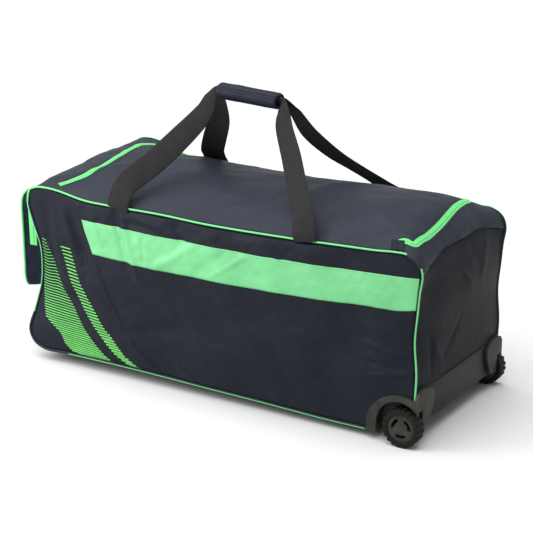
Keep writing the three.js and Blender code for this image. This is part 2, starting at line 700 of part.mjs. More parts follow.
// Round bead along the front or back seam between two stations.
function bead(side, from, to, radius, sides = 6) {
  const clear = 0.02;
  const between = [...rimStations.map((station) => station - lap), ...rimStations]
    .filter((station) => station > from + clear && station < to - clear);
  const sections = [from, ...new Set(between), to].map((station) => {
    const centre = shellPoint(station, side);
    const outward = shellPoint(station, side, 1).sub(centre);
    return Array.from({ length: sides }, (_, n) => {
      const angle = (2 * Math.PI * n) / sides;
      return centre.clone()
        .addScaledVector(outward, radius * Math.cos(angle))
        .add(new THREE.Vector3(0, radius * Math.sin(angle), 0));
    });
  });
  return loft(sections);
}

const bindingTop = stationWhere('z', 0.285 * sideHeight, leftStart + 1, lap - 3);
const bindingEnd = stationWhere('x', -0.79 * halfLength, bottomStart, leftStart);
const pipingFoot = stationPast(stationWhere('x', archLeft, bottomStart, leftStart), pipingEnd);
const archSide = archZ + Math.sqrt(archRadius ** 2 - (knots[bottomStart - 2].seam.x - wellX) ** 2);
const pipingDown = stationPast(
  stationWhere('z', archSide + pipingEnd, rightStart, bottomStart), -gap);

function upperPiping(side) {
  return bead(side, stationPast(bindingTop, gap) - lap, pipingDown, pipingRadius);
}

function lowerPiping(side) {
  return bead(side, pipingFoot, stationPast(bindingEnd, -gap), pipingRadius);
}

function cornerBinding(side) {
  return bead(side, bindingEnd, bindingTop, pipingRadius);
}

// End pocket: a crowned face, a gusset back to the left end, piping between them and a zip.
const pocketPath = new THREE.CatmullRomCurve3([
  ...pocketRows,
  ...pocketRows.slice(1, -1).reverse().map((row) => ({ y: -row.y, z: row.z })),
].map((row) => new THREE.Vector3(0, row.y * pocketWidth / 2, pocketBottom + row.z * pocketHeight)), true, 'centripetal');
const pocketSegments = 36;
const pocketCentre = new THREE.Vector3(0, 0, pocketBottom + pocketHeight / 2);
const pocketTurns = evenValues(0, 1, pocketSegments).slice(0, -1);

function pocketFaceX(z) {
  const low = (pocketBottom + pocketHeight - z) / pocketHeight;
  return -halfLength - pocketDepth + pocketLean * (1 - low);
}

function pocketRim(turn, inset) {
  const step = 1e-3;
  const point = pocketPath.getPointAt(turn);
  const tangent = pocketPath.getPointAt((turn + step) % 1).sub(pocketPath.getPointAt((turn + 1 - step) % 1));
  const outward = new THREE.Vector3(0, tangent.z, -tangent.y).normalize();
  if (outward.dot(point.clone().sub(pocketCentre)) < 0) outward.negate();
  return point.addScaledVector(outward, -inset);
}

function leftEndX(y, z) {
  const across = THREE.MathUtils.clamp(y / halfWidth, -seamAcross, seamAcross);
  const station = stationWhere('z', z, leftStart + 1, lap + 0.4, across);
  return shellPoint(station, across).x;
}

function pocketPoint(turn, inset, back) {
  const point = pocketRim(turn, inset);
  const start = pocketFaceX(point.z) + pipingRadius + gap;
  point.x = THREE.MathUtils.lerp(start, leftEndX(point.y, point.z) - pocketSeat, back);
  return point;
}

function pocketGusset() {
  const depths = evenValues(0, 1, 2);
  const sections = pocketTurns.map((turn) => [
    ...depths.map((back) => pocketPoint(turn, 0, back)),
    ...depths.map((back) => pocketPoint(turn, wall, back)).reverse(),
  ]);
  return loft(sections, true);
}

function pocketPanel() {
  const shares = [0, 0.5, 1];
  const spoke = (turn, lift) => shares.map((share) => {
    const point = pocketCentre.clone().lerp(pocketRim(turn, pipingRadius + gap), share);
    point.x = pocketFaceX(point.z) - pocketBulge * (1 - share ** 2.5) + lift;
    return point;
  });
  return loft(pocketTurns.map((turn) => [...spoke(turn, -wall / 2), ...spoke(turn, wall / 2).reverse()]), true);
}

function pocketPiping() {
  const sides = 6;
  const sections = pocketTurns.map((turn) => {
    const centre = pocketRim(turn, 0);
    centre.x = pocketFaceX(centre.z);
    const outward = centre.clone().sub(pocketRim(turn, 1)).setX(0).normalize();
    return Array.from({ length: sides }, (_, n) => {
      const angle = (2 * Math.PI * n) / sides;
      return centre.clone()
        .addScaledVector(outward, pipingRadius * Math.cos(angle))
        .add(new THREE.Vector3(pipingRadius * Math.sin(angle), 0, 0));
    });
  });
  return loft(sections, true);
}

// The pocket's zip lies on the gusset and runs over the top, down to the same height each side.
function pocketZip() {
  const end = pocketBottom + pocketZipEnd * pocketHeight;
  const half = evenValues(0, 0.5, 200).find((turn) => pocketPath.getPointAt(turn).z < end);
  const inside = [...pocketTurns.map((turn) => turn - 1), ...pocketTurns].filter((turn) => Math.abs(turn) < half);
  const turns = [-half, ...inside, half].map((turn) => (turn + 1) % 1);
  const strip = (lift) => turns.map((turn) => [0, 1].map((edge) => {
    const point = pocketRim(turn, -gap - lift);
    point.x = pocketFaceX(point.z) + pipingRadius + pocketZipInset + edge * pocketZipWidth;
    return point;
  }));
  return sheetWall(strip(bandThickness), strip(0));
}

// Webbing strap: two legs that meet inside the grip. side is -1 for the front strap.
const grip = new THREE.Vector3(gripShift, -gripLean, handleHeight);

function strapPath(side, left, right) {
  const seam = shellPoint(stationWhere('x', strapSpacing / 2, topStart, rightStart), -1);
  const line = (leg, end) => leg.map((row) => ({
    place: new THREE.Vector3(
      THREE.MathUtils.lerp(grip.x + end * gripLength / 2, end * strapSpacing / 2, row.out),
      THREE.MathUtils.lerp(grip.y + side * strapsApart / 2, side * halfWidth, row.ahead),
      THREE.MathUtils.lerp(seam.z, grip.z - end * gripTilt / 2, row.up)),
    wide: row.wide,
    lean: row.lean,
  }));
  const inside = [-0.54, -0.3, 0, 0.3, 0.54].map((share) => ({
    place: new THREE.Vector3(
      grip.x + share * gripLength, grip.y + side * strapsApart / 2, grip.z - share * gripTilt),
    wide: Math.abs(share) > 0.5 ? 0.32 : 0.42,
    lean: 0,
  }));
  return [...line(left, -1), ...inside, ...line(right, 1).reverse()];
}

function strap(side, left, right, count) {
  const rows = strapPath(side, left, right);
  const centre = new THREE.CatmullRomCurve3(rows.map((row) => row.place), false, 'centripetal');
  const forms = new THREE.CatmullRomCurve3(rows.map((row, i) => new THREE.Vector3(i, row.wide, row.lean)));
  const sections = evenValues(0, 1, count).map((share) => {
    const point = centre.getPoint(share);
    const tangent = centre.getTangent(share);
    const form = forms.getPoint(share);
    const facing = new THREE.Vector3(0, side, form.z);
    facing.addScaledVector(tangent, -facing.dot(tangent)).normalize();
    const sideways = tangent.clone().cross(facing).normalize();
    const half = (strapWidth / 2) * Math.min(form.y, 1);
    return [[-1, -1], [1, -1], [1, 1], [-1, 1]].map(([across, through]) => point.clone()
      .addScaledVector(sideways, across * half)
      .addScaledVector(facing, through * strapThickness / 2));
  });
  return loft(sections);
}

// Padded grip: an oval sleeve, open at both ends, slightly fuller in the middle.
function gripWrap() {
  const ends = [-0.5, -0.42, -0.2, 0.2, 0.42, 0.5];
  const sides = 18;
  const sections = Array.from({ length: sides }, (_, n) => {
    const angle = (2 * Math.PI * n) / sides;
    const ringPoint = (share, inset) => new THREE.Vector3(
      grip.x + share * gripLength,
      grip.y + (gripDepth / 2 - inset) * Math.cos(angle),
      grip.z - share * gripTilt + (gripHeight / 2 - inset) * Math.sin(angle));
    const crease = (share) => 1.2 * (Math.abs(share) > 0.45 ? 1 : 0);
    return [
      ...ends.map((share) => ringPoint(share, crease(share))),
      ...ends.map((share) => ringPoint(share, gripWall)).reverse(),
    ];
  });
  return loft(sections, true);
}

// Wheel housing at the front: arch, wheel well, axle boss and corner guard in one moulding.
function archShape(outer, inner, low) {
  const shape = new THREE.Shape();
  const endX = guardOuterX;
  const outerEnd = Math.acos((endX - wellX) / outer);
  const innerEnd = Math.acos((endX - wellX) / inner);
  shape.moveTo(wellX + outer * Math.cos(outerEnd), archZ + outer * Math.sin(outerEnd));
  shape.absarc(wellX, archZ, outer, outerEnd, Math.PI, false);
  shape.lineTo(wellX - outer, low);
  shape.lineTo(wellX - inner, low);
  shape.lineTo(wellX - inner, wellZ);
  shape.absarc(wellX, wellZ, inner, Math.PI, innerEnd, true);
  return shape;
}

function wellShape(outer, inner, low) {
  const shape = new THREE.Shape();
  const outerEnd = Math.acos((guardInnerX + 1 - wellX) / outer);
  shape.moveTo(wellX + outer * Math.cos(outerEnd), wellZ + outer * Math.sin(outerEnd));
  shape.absarc(wellX, wellZ, outer, outerEnd, Math.PI, false);
  shape.lineTo(wellX - outer, low);
  if (inner > 0) {
    const innerEnd = Math.acos((guardInnerX + 1 - wellX) / inner);
    shape.lineTo(wellX - inner, low);
    shape.lineTo(wellX - inner, wellZ);
    shape.absarc(wellX, wellZ, inner, Math.PI, innerEnd, true);
  } else {
    shape.lineTo(guardInnerX + 1, low);
  }
  return shape;
}

function guardShape() {
  const shape = new THREE.Shape();
  guardRows.forEach((row, i) => {
    const [y, z] = [row.y * halfWidth, row.z * plateTop];
    if (i === 0) shape.moveTo(-y, z);
    else shape.lineTo(-y, z);
  });
  return shape;
}

function wheelHousing() {
  const overlap = 1;
  const arch = plateAcross(archShape(archRadius, wellRadius, archFoot), -archOuterY, -archOuterY + archThickness);
  const roofShape = wellShape(wellRadius + wellWall, wellRadius, archFoot);
  const roof = plateAcross(roofShape, -archOuterY + archThickness - overlap, -wellInnerY);
  const innerWall = plateAcross(wellShape(wellRadius + wellWall, 0, wellFloor), -wellInnerY - wellWall, -wellInnerY);
  const bossEnd = -archOuterY - wheelProud + archProud + wheelWidth + runningClearance;
  const boss = barAcross(wheelX, wheelZ, bossRadius, bossEnd, -wellInnerY - overlap);
  const bore = barAcross(wheelX, wheelZ, axleRadius + gap, -bodyWidth, 0);
  const guard = new THREE.ExtrudeGeometry(guardShape(), { depth: guardThickness, bevelEnabled: false });
  guard.applyMatrix4(new THREE.Matrix4().makeBasis(
    new THREE.Vector3(0, 1, 0), new THREE.Vector3(0, 0, 1), new THREE.Vector3(1, 0, 0)));
  guard.translate(guardInnerX, 0, 0);
  return subtract(join(arch, roof, innerWall, boss, guard), bore);
}

const wheelOuterY = archOuterY - archProud + wheelProud;
const wheelInnerY = wheelOuterY - wheelWidth;

function axle() {
  const headY = -wellInnerY + gap + axleHead / 2;
  const shank = barAcross(wheelX, wheelZ, axleRadius, -wheelOuterY + hubRecess + wellWall + gap, headY - 1);
  const head = barAcross(wheelX, wheelZ, axleHead, -wellInnerY + gap, headY);
  return join(shank, head);
}

// Segments of the round joint between each tyre and its hub.
const rimSegments = 14;

// Tyre: a ring with square lugs round its tread.
function tyre() {
  const shape = new THREE.Shape();
  const pitch = (2 * Math.PI) / lugCount;
  for (let i = 0; i < lugCount; i += 1) {
    const groove = wheelRadius - lugDepth;
    [[0.00, groove], [0.28, groove], [0.38, wheelRadius], [0.90, wheelRadius]].forEach(([share, radius], j) => {
      const angle = (i + share) * pitch;
      const [x, y] = [radius * Math.cos(angle), radius * Math.sin(angle)];
      if (i === 0 && j === 0) shape.moveTo(x, y);
      else shape.lineTo(x, y);
    });
  }
  const hole = new THREE.Path();
  hole.absarc(0, 0, hubRadius + gap, 0, 2 * Math.PI, true);
  shape.holes.push(hole);
  const geometry = plateAcross(shape, -wheelOuterY, -wheelInnerY, rimSegments);
  geometry.translate(wheelX, 0, wheelZ);
  return geometry;
}

// Hub: a disc with three curved slots and a blind bore for the axle.
function hub() {
  const shape = new THREE.Shape();
  shape.absarc(0, 0, hubRadius, 0, 2 * Math.PI, false);
  const slot = { inner: 0.50, outer: 0.74, sweep: 1.25 };
  const arc = (radius, from, to) => evenValues(from, to, 5).map((angle) => new THREE.Vector2(
    radius * hubRadius * Math.cos(angle), radius * hubRadius * Math.sin(angle)));
  for (let i = 0; i < 3; i += 1) {
    const middle = Math.PI / 6 + (i * 2 * Math.PI) / 3;
    const [start, end] = [middle - slot.sweep / 2, middle + slot.sweep / 2];
    shape.holes.push(new THREE.Path([...arc(slot.outer, start, end), ...arc(slot.inner, end, start)]));
  }
  const geometry = new THREE.ExtrudeGeometry(shape, {
    depth: wheelWidth - hubRecess, bevelEnabled: false, curveSegments: rimSegments });
  geometry.rotateX(Math.PI / 2);
  geometry.translate(wheelX, -wheelInnerY, wheelZ);
  const bore = barAcross(wheelX, wheelZ, axleRadius + runningClearance, -wheelOuterY + hubRecess + wellWall, 0);
  return subtract(geometry, bore);
}

// Kick plate: a moulded board over the lower end and round under the corner between the wells.
function kickPlate() {
  const bend = 16;
  const startX = wellLeft - wellWall;
  const startZ = shellPoint(baseEnd, 0).z;
  const shape = new THREE.Shape();
  shape.moveTo(plateX, plateTop);
  shape.lineTo(plateX, plateBottom + bend);
  shape.quadraticCurveTo(plateX, plateBottom, plateX - bend, plateBottom);
  shape.lineTo(startX, startZ);
  shape.lineTo(startX, startZ + plateThickness);
  shape.lineTo(plateX - bend, plateBottom + plateThickness);
  shape.quadraticCurveTo(
    plateX - plateThickness, plateBottom + plateThickness, plateX - plateThickness, plateBottom + bend);
  shape.lineTo(plateX - plateThickness, plateTop);
  const plate = plateAcross(shape, -halfWidth + panelEdge, halfWidth - panelEdge);
  const clearY = wellInnerY - axleHead / 2 - 2 * gap;
  const clearZ = wellZ + wellRadius + wellWall + gap;
  return subtract(plate,
    block(0, bodyLength, -bodyWidth, -clearY, -sideHeight, clearZ),
    block(0, bodyLength, clearY, bodyWidth, -sideHeight, clearZ));
}

addPiece('front_panel', sidePanel(-1), navy);
addPiece('back_panel', sidePanel(1), navy);
addPiece('base_panel', basePanel(), darkNavy);
addPiece('left_end_panel', leftEndPanel(), navy);
addPiece('right_end_panel', rightEndPanel(), navy);
addPiece('lid_panel', lidPanel(), navy);
addPiece('top_border_left', topBorderLeft(), navy);
addPiece('top_border_right', topBorderRight(), navy);
addPiece('top_border_back', topBorderBack(), navy);
addPiece('lid_zip', lidZip(), lime);
addPiece('zip_tab', zipTab(), darkNavy);
addPiece('front_band', frontBand(), lime);
addPiece('front_piping_upper', upperPiping(-1), lime);
addPiece('front_piping_lower', lowerPiping(-1), lime);
addPiece('front_corner_binding', cornerBinding(-1), darkNavy);
addPiece('back_piping_upper', upperPiping(1), lime);
addPiece('back_piping_lower', lowerPiping(1), lime);
addPiece('back_corner_binding', cornerBinding(1), darkNavy);
addPiece('pocket_panel', pocketPanel(), navy);
addPiece('pocket_gusset', pocketGusset(), navy);
addPiece('pocket_piping', pocketPiping(), lime);
addPiece('pocket_zip', pocketZip(), lime);
addPiece('front_strap', strap(-1, legs.frontLeft, legs.frontRight, 40), webbing);
addPiece('back_strap', strap(1, legs.backLeft, legs.backRight, 40), webbing);
addPiece('grip_wrap', gripWrap(), darkNavy);
addPiece('kick_plate', kickPlate(), board);
addPiece('wheel_housing_front', wheelHousing(), moulded);
addPiece('wheel_housing_back', mirrored(wheelHousing()), moulded);
addPiece('axle_front', axle(), moulded);
addPiece('axle_back', mirrored(axle()), moulded);
addPiece('wheel_front_tyre', tyre(), rubber);
addPiece('wheel_front_hub', hub(), moulded);
addPiece('wheel_back_tyre', mirrored(mergeVertices(tyre())), rubber);
addPiece('wheel_back_hub', mirrored(hub()), moulded);

// The origin is on the floor, under the middle of the whole length.
bag.position.x = -new THREE.Box3().setFromObject(bag).getCenter(new THREE.Vector3()).x;

export default kitBag;
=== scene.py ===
"""Wheeled cricket kit bag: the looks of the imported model.

Lengths are in metres. The bag's own X counts from the middle of its body, so BAG_X is added to it
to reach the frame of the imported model.
"""
import json
import math

import bmesh
import bpy
import numpy as np
from bpy.props import FloatProperty, FloatVectorProperty, PointerProperty
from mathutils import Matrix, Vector


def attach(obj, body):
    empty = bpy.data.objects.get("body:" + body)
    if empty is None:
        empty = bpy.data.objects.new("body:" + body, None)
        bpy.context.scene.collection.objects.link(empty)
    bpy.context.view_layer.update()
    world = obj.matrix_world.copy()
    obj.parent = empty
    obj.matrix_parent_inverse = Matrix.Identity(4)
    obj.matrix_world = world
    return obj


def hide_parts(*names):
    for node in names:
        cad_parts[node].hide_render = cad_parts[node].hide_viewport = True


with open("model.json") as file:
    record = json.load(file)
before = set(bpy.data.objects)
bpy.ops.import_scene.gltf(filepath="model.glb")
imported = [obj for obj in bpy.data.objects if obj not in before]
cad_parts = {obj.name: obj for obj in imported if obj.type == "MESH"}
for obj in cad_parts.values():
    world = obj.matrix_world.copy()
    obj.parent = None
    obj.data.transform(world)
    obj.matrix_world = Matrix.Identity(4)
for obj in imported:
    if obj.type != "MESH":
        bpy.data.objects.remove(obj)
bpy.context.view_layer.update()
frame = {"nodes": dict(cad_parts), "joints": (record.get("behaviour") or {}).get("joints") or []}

bl_info = {
    "name": "Cricket kit bag",
    "version": (1, 0, 0),
    "blender": (4, 5, 0),
    "location": "View3D > Sidebar > Kit bag",
    "description": "Builds the fabric, webbing and moulded pieces of a wheeled kit bag",
    "category": "Add Mesh",
}

WHEEL_FROM_MIDDLE = 0.426
BODY_HEART = (0.0, 0.0, 0.2)
POCKET_HEART = (-0.47, 0.0, 0.23)
BAG_X = frame["joints"][0]["pos_m"][0] - WHEEL_FROM_MIDDLE

# Seam outline, clockwise from the top left corner as seen from the front. x is a share of half the
# length and z of the side height. Halfway across, the shell stands shift_x and shift_z further out,
# as shares of the edge's depth. Tilt is how much higher the back seam runs, as a share of the same
# depth. Fullness is the power of the curve across.
EDGE_COLUMNS = ("x", "z", "shift_x", "shift_z", "tilt", "fullness")
EDGES = {
    "top": [
        (-0.980, 1.003, 0.15, 0.22, 0.45, 2.5),
        (-0.942, 1.027, 0.25, 0.20, 0.52, 2.5),
        (-0.889, 1.033, 0.25, 0.25, 0.54, 2.5),
        (-0.816, 1.027, 0.20, 0.36, 0.50, 2.5),
        (-0.667, 0.997, 0.10, 0.66, 0.30, 2.5),
        (-0.542, 0.992, 0.04, 0.88, 0.14, 2.5),
        (-0.260, 0.992, 0.00, 0.96, 0.02, 2.5),
        (0.000, 0.981, 0.00, 0.98, 0.00, 2.5),
        (0.416, 0.986, 0.00, 0.98, 0.00, 2.5),
        (0.667, 0.995, -0.20, 0.95, 0.00, 2.5),
        (0.800, 1.000, -0.44, 0.90, 0.00, 2.5),
        (0.889, 1.008, -0.62, 0.80, 0.00, 2.5),
        (0.942, 1.005, -0.64, 0.72, 0.00, 2.5),
    ],
    "right": [
        (0.991, 0.970, -2.40, 3.00, 0.00, 2.5),
        (1.009, 0.915, -1.10, 2.30, 0.00, 2.5),
        (1.000, 0.822, 0.20, 1.40, 0.00, 2.5),
        (0.993, 0.712, 1.00, 0.60, 0.00, 2.5),
        (0.984, 0.564, 1.10, 0.10, 0.00, 2.5),
        (0.995, 0.392, 0.50, 0.00, 0.00, 2.5),
        (0.993, 0.274, 0.25, 0.00, 0.00, 3.0),
        (0.990, 0.164, 0.20, 0.00, 0.00, 3.0),
    ],
    "bottom": [
        (0.978, 0.077, 0.00, 0.00, 0.00, 3.5),
        (0.911, 0.049, 0.00, 0.00, 0.00, 4.0),
        (0.771, 0.047, 0.00, -0.10, 0.00, 4.0),
        (0.576, 0.047, 0.00, -0.40, 0.00, 4.0),
        (0.333, 0.055, 0.00, -0.80, 0.00, 4.0),
        (0.000, 0.063, 0.00, -1.00, 0.00, 4.0),
        (-0.440, 0.074, 0.00, -1.05, 0.00, 4.0),
        (-0.790, 0.074, 0.00, -0.95, 0.00, 4.0),
        (-0.929, 0.071, 0.05, -0.60, 0.00, 3.5),
    ],
    "left": [
        (-0.990, 0.105, -0.20, -0.60, 0.00, 3.0),
        (-1.013, 0.173, -0.40, -0.20, 0.00, 2.5),
        (-0.982, 0.285, -0.60, 0.00, 0.00, 2.5),
        (-0.955, 0.375, -0.70, 0.00, 0.00, 2.5),
        (-0.929, 0.471, -0.80, 0.00, 0.00, 2.5),
        (-0.920, 0.556, -0.80, 0.00, 0.00, 2.5),
        (-0.925, 0.688, -0.70, 0.20, 0.00, 2.5),
        (-0.964, 0.822, -0.40, 0.30, 0.60, 2.5),
        (-0.991, 0.932, -0.10, 0.60, 1.60, 2.5),
    ],
}

# Soft folds of the two long panels. x and z are shares across the panel, from its left end and its
# bottom. Length and width are shares of the side height, height of the panel's bulge, and turn is
# the slope of the fold in degrees.
PANEL_FOLDS = [
    (0.10, 0.72, 0.45, 0.13, -70, -0.75),
    (0.18, 0.40, 0.50, 0.12, -62, 0.45),
    (0.05, 0.22, 0.25, 0.14, 60, 0.40),
    (0.36, 0.40, 0.55, 0.12, -35, -0.35),
    (0.62, 0.24, 0.60, 0.12, 8, 0.40),
    (0.86, 0.55, 0.35, 0.13, 58, -0.55),
    (0.93, 0.36, 0.25, 0.10, 25, 0.45),
]

# Creases: start and end of the ridge line, then its width and height in millimetres. A negative
# height is a dent. On the front they are placed in centimetres along the bag and up, on the top along
# and across, and on the wheel end across and up.
FRONT_CREASES = [
    (-22.5, 35.5, -19.0, 24.0, 9, -4.0),
    (-20.5, 34.5, -16.0, 22.0, 8, 2.9),
    (-12.0, 25.5, -3.0, 31.5, 9, 2.5),
    (-4.0, 25.0, 5.0, 31.5, 10, -1.8),
    (-36.0, 36.0, -31.0, 20.0, 14, 4.5),
    (-40.5, 35.0, -37.0, 17.0, 12, -4.5),
    (-27.0, 36.0, -24.0, 33.0, 8, 2.7),
    (-8.0, 35.5, -5.0, 30.5, 8, -2.2),
    (12.0, 35.0, 17.0, 31.0, 9, 2.2),
    (33.0, 19.0, 44.0, 17.5, 6, 2.9),
    (34.5, 15.5, 44.0, 15.0, 5, -2.9),
    (36.0, 13.0, 44.5, 14.5, 5, 3.1),
    (30.0, 22.5, 42.0, 22.0, 8, 2.2),
    (-30.0, 8.0, -6.0, 14.0, 16, -2.9),
    (5.0, 15.0, 30.0, 19.0, 20, 2.5),
    (-15.3, 31.5, -14.6, 26.0, 5, -2.0),
    (1.9, 26.5, 9.5, 31.5, 6, 1.8),
    (-33.5, 33.0, -29.0, 22.0, 9, -3.2),
    (-28.5, 34.5, -25.0, 27.0, 7, 2.4),
    (-17.5, 35.2, -10.5, 33.4, 6, 2.4),
    (-20.0, 33.6, -12.5, 33.0, 5, -2.2),
]
TOP_CREASES = [
    (17.0, 2.0, 41.0, -16.0, 8, 1.8),
    (20.0, -3.0, 40.0, -17.0, 10, -1.6),
    (-28.0, -17.0, -18.0, -6.0, 18, -4.0),
    (-24.0, -9.0, -4.0, -3.0, 16, 2.2),
    (-22.0, -17.5, -17.0, -15.0, 5, 1.6),
    (8.0, -14.0, 14.0, 4.0, 16, -2.4),
    (20.0, -13.0, 25.0, 2.0, 14, 2.0),
    (-8.0, -17.0, 6.0, -13.0, 9, 1.2),
    (-38.0, -12.0, -24.0, 2.0, 14, 1.6),
    (30.0, -17.0, 40.0, -14.0, 6, 1.6),
    (-12.0, 2.0, 8.0, 9.0, 18, -2.0),
]
END_CREASES = [
    (-16.0, 34.5, -10.0, 32.0, 5, 2.0),
    (-10.0, 32.0, -1.0, 29.5, 6, 2.0),
    (-1.0, 29.5, 2.5, 26.0, 6, 1.8),
    (11.0, 33.5, 7.0, 26.0, 14, 1.5),
    (3.0, 34.0, 7.0, 27.0, 14, -1.0),
    (-12.5, 13.0, -13.5, 20.0, 9, -2.2),
    (-8.0, 13.5, -12.0, 17.5, 10, 2.0),
    (-2.0, 20.0, -9.0, 14.0, 8, -1.8),
]

# Unevenness of each face: seed, wavelength and height of its ripples, in metres.
UNEVEN = {
    "top": [(3, 0.11, 0.0010), (4, 0.035, 0.00028)],
    "end": [(5, 0.2, 0.0005), (6, 0.08, 0.00005)],
    "front": [(10, 0.12, 0.0012), (20, 0.035, 0.0003)],
    "back": [(12, 0.12, 0.0012), (22, 0.035, 0.0003)],
}

# Middle of the zip's left and right runs: at a share across the bag, how far the left one and the
# right one lie in from their end of the top seam, as shares of the zip's reach.
ZIP_RUNS = [
    (-1.00, 0.56, 0.20), (-0.80, 0.82, 0.12), (-0.60, 0.97, 0.01), (-0.30, 0.98, -0.02),
    (0.00, 0.90, 0.03), (0.40, 0.76, 0.14), (0.75, 0.54, 0.30), (1.00, 0.40, 0.42),
]

# Hook of the zip under its front tab: inset from the corner in metres, and share across the bag.
ZIP_HOOK = [(0.0125, -0.835), (0.0190, -0.862), (0.0270, -0.866), (0.0350, -0.872), (0.0430, -0.890)]

# Each leg of the straps, from its seam to the grip: out is a share of the way from the grip's end to
# the leg's place on the seam, ahead of the way from the grip to the seam across the bag, up of the
# height from the seam to the grip, and wide of the webbing's width. Lean is how far its face turns
# up, as a slope, and turn how far it turns to the right.
LEGS = {
    "front_left": [
        (1.000, 1.030, -0.004, 1.00, 0.0, 0.0),
        (0.980, 1.040, 0.060, 1.00, 0.0, 0.0),
        (0.910, 0.960, 0.205, 1.00, 0.0, 0.0),
        (0.645, 0.720, 0.385, 1.00, 0.0, 0.0),
        (0.380, 0.440, 0.595, 0.98, 0.0, 0.0),
        (0.150, 0.180, 0.815, 0.82, 0.0, 0.0),
        (0.090, 0.090, 0.940, 0.55, 0.0, 0.0),
    ],
    "front_right": [
        (1.000, 1.030, -0.004, 1.00, 0.0, 0.0),
        (0.985, 1.040, 0.060, 1.00, 0.0, 0.0),
        (0.930, 0.960, 0.205, 1.00, 0.0, 0.0),
        (0.700, 0.720, 0.385, 1.00, 0.0, 0.0),
        (0.440, 0.440, 0.595, 0.98, 0.0, 0.0),
        (0.180, 0.190, 0.815, 0.82, 0.0, 0.0),
        (0.110, 0.090, 0.935, 0.55, 0.0, 0.0),
    ],
    "back_left": [
        (1.050, 1.022, -0.014, 1.00, 0.0, -0.3),
        (1.045, 1.022, 0.050, 1.00, 0.0, -0.3),
        (0.985, 0.900, 0.160, 1.00, 0.0, -0.4),
        (0.840, 0.713, 0.270, 1.00, 0.0, -0.55),
        (0.620, 0.530, 0.440, 1.00, 0.0, -0.5),
        (0.280, 0.260, 0.690, 0.90, 0.0, -0.3),
        (0.110, 0.090, 0.930, 0.55, 0.0, 0.0),
    ],
    "back_right": [
        (1.000, 1.022, -0.004, 1.00, 0.0, 0.0),
        (0.985, 1.015, 0.020, 1.00, 0.4, 0.0),
        (0.800, 0.900, 0.150, 1.00, 1.2, 0.0),
        (0.565, 0.759, 0.285, 1.00, 1.3, 0.0),
        (0.330, 0.590, 0.435, 1.00, 1.0, 0.0),
        (0.160, 0.349, 0.655, 0.90, 0.5, 0.0),
        (0.110, 0.110, 0.900, 0.55, 0.1, 0.0),
    ],
}

# Outline of the pocket's face, clockwise from its top middle: shares of half its width and height.
POCKET_ROWS = [
    (0.00, 1.000), (0.55, 1.000), (0.86, 0.990), (0.97, 0.945), (1.00, 0.860), (1.00, 0.600),
    (1.00, 0.300), (0.99, 0.090), (0.93, 0.025), (0.75, 0.000), (0.35, -0.025), (0.00, -0.035),
]

# Long edges of the lime band, from its left end to its right: centimetres along the bag and up.
BAND_TOP = [
    (-30.4, 32.6), (-23.0, 32.4), (-15.4, 32.2), (-1.4, 32.0), (12.9, 31.9), (27.1, 32.1),
    (35.3, 32.4), (41.7, 32.6), (44.9, 32.7),
]
BAND_BOTTOM = [
    (-27.8, 25.7), (-21.6, 25.5), (-15.6, 25.3), (-4.0, 25.1), (8.1, 25.1), (27.5, 25.6),
    (35.6, 25.9), (41.0, 26.0), (44.6, 26.6),
]

# Left and right ends of the printed lines of the front panel: centimetres up, then along the bag.
PRINT_WIDE = {
    "left": [(26.8, -41.3), (19.2, -41.1), (12.1, -41.0), (10.2, -40.6), (9.4, -39.5), (7.3, -36.9),
             (6.3, -36.5), (4.8, -36.0), (3.6, -34.6), (3.1, -33.0)],
    "right": [(26.8, -40.2), (23.5, -38.6), (20.2, -37.1), (16.9, -34.9), (13.9, -32.7),
              (12.8, -32.2), (9.3, -30.2), (7.4, -28.5), (5.1, -26.1), (3.1, -23.2)],
}
PRINT_NARROW = {
    "left": [(25.9, -36.3), (19.1, -33.6), (13.2, -29.8), (10.7, -28.1), (8.4, -26.3), (7.0, -24.9),
             (5.0, -22.8), (3.1, -19.6)],
    "right": [(25.9, -33.8), (19.2, -30.8), (13.5, -26.9), (10.5, -25.0), (8.4, -23.0), (5.3, -20.4),
              (3.1, -17.1)],
}

# How much of the piping shows between the fabrics: a share of its radius at a station.
PIPING_SHOWS = {
    "front": [
        (0, 0.85), (2, 0.75), (12, 0.7), (14, 0.6), (17, 0.6), (20, 0.85), (21, 1.0), (22, 0.5),
        (29, 0.5), (30.5, 0.7), (32, 0.9), (34, 0.55), (37, 0.6), (38.5, 1.0), (39, 1.0),
    ],
    "back": [
        (0, 0.9), (12, 0.9), (14, 0.6), (15, 0.4), (19, 0.4), (20, 0.9), (21, 1.0), (22, 0.5),
        (30, 0.5), (39, 0.9),
    ],
}

# Fine seam that slants down the front panel: centimetres along the bag and up.
SLANT_SEAM = [(-26.6, 25.0), (-26.4, 23.5), (-22.9, 16.3), (-18.2, 9.0), (-12.6, 3.6)]


def length(text, default, name=""):
    """A length in metres that the sidebar shows."""
    return FloatProperty(name=name or text.split(",")[0], description=text, default=default,
                         unit="LENGTH", subtype="DISTANCE", precision=4)


def hex_to_linear(code):
    """sRGB hex to linear: each channel is divided by 12.92 up to 0.04045, and above it takes
    ((c + 0.055) / 1.055) to the power 2.4."""
    channels = (np.array([int(code[i:i + 2], 16) for i in (1, 3, 5)]) / 255.0)
    low, high = channels / 12.92, ((channels + 0.055) / 1.055) ** 2.4
    return tuple(np.where(channels <= 0.04045, low, high))


def colour(text, code):
    """A colour that the sidebar shows, given as sRGB hex."""
    return FloatVectorProperty(name=text, description=text, default=hex_to_linear(code), size=3,
                               subtype="COLOR", min=0.0, max=1.0)


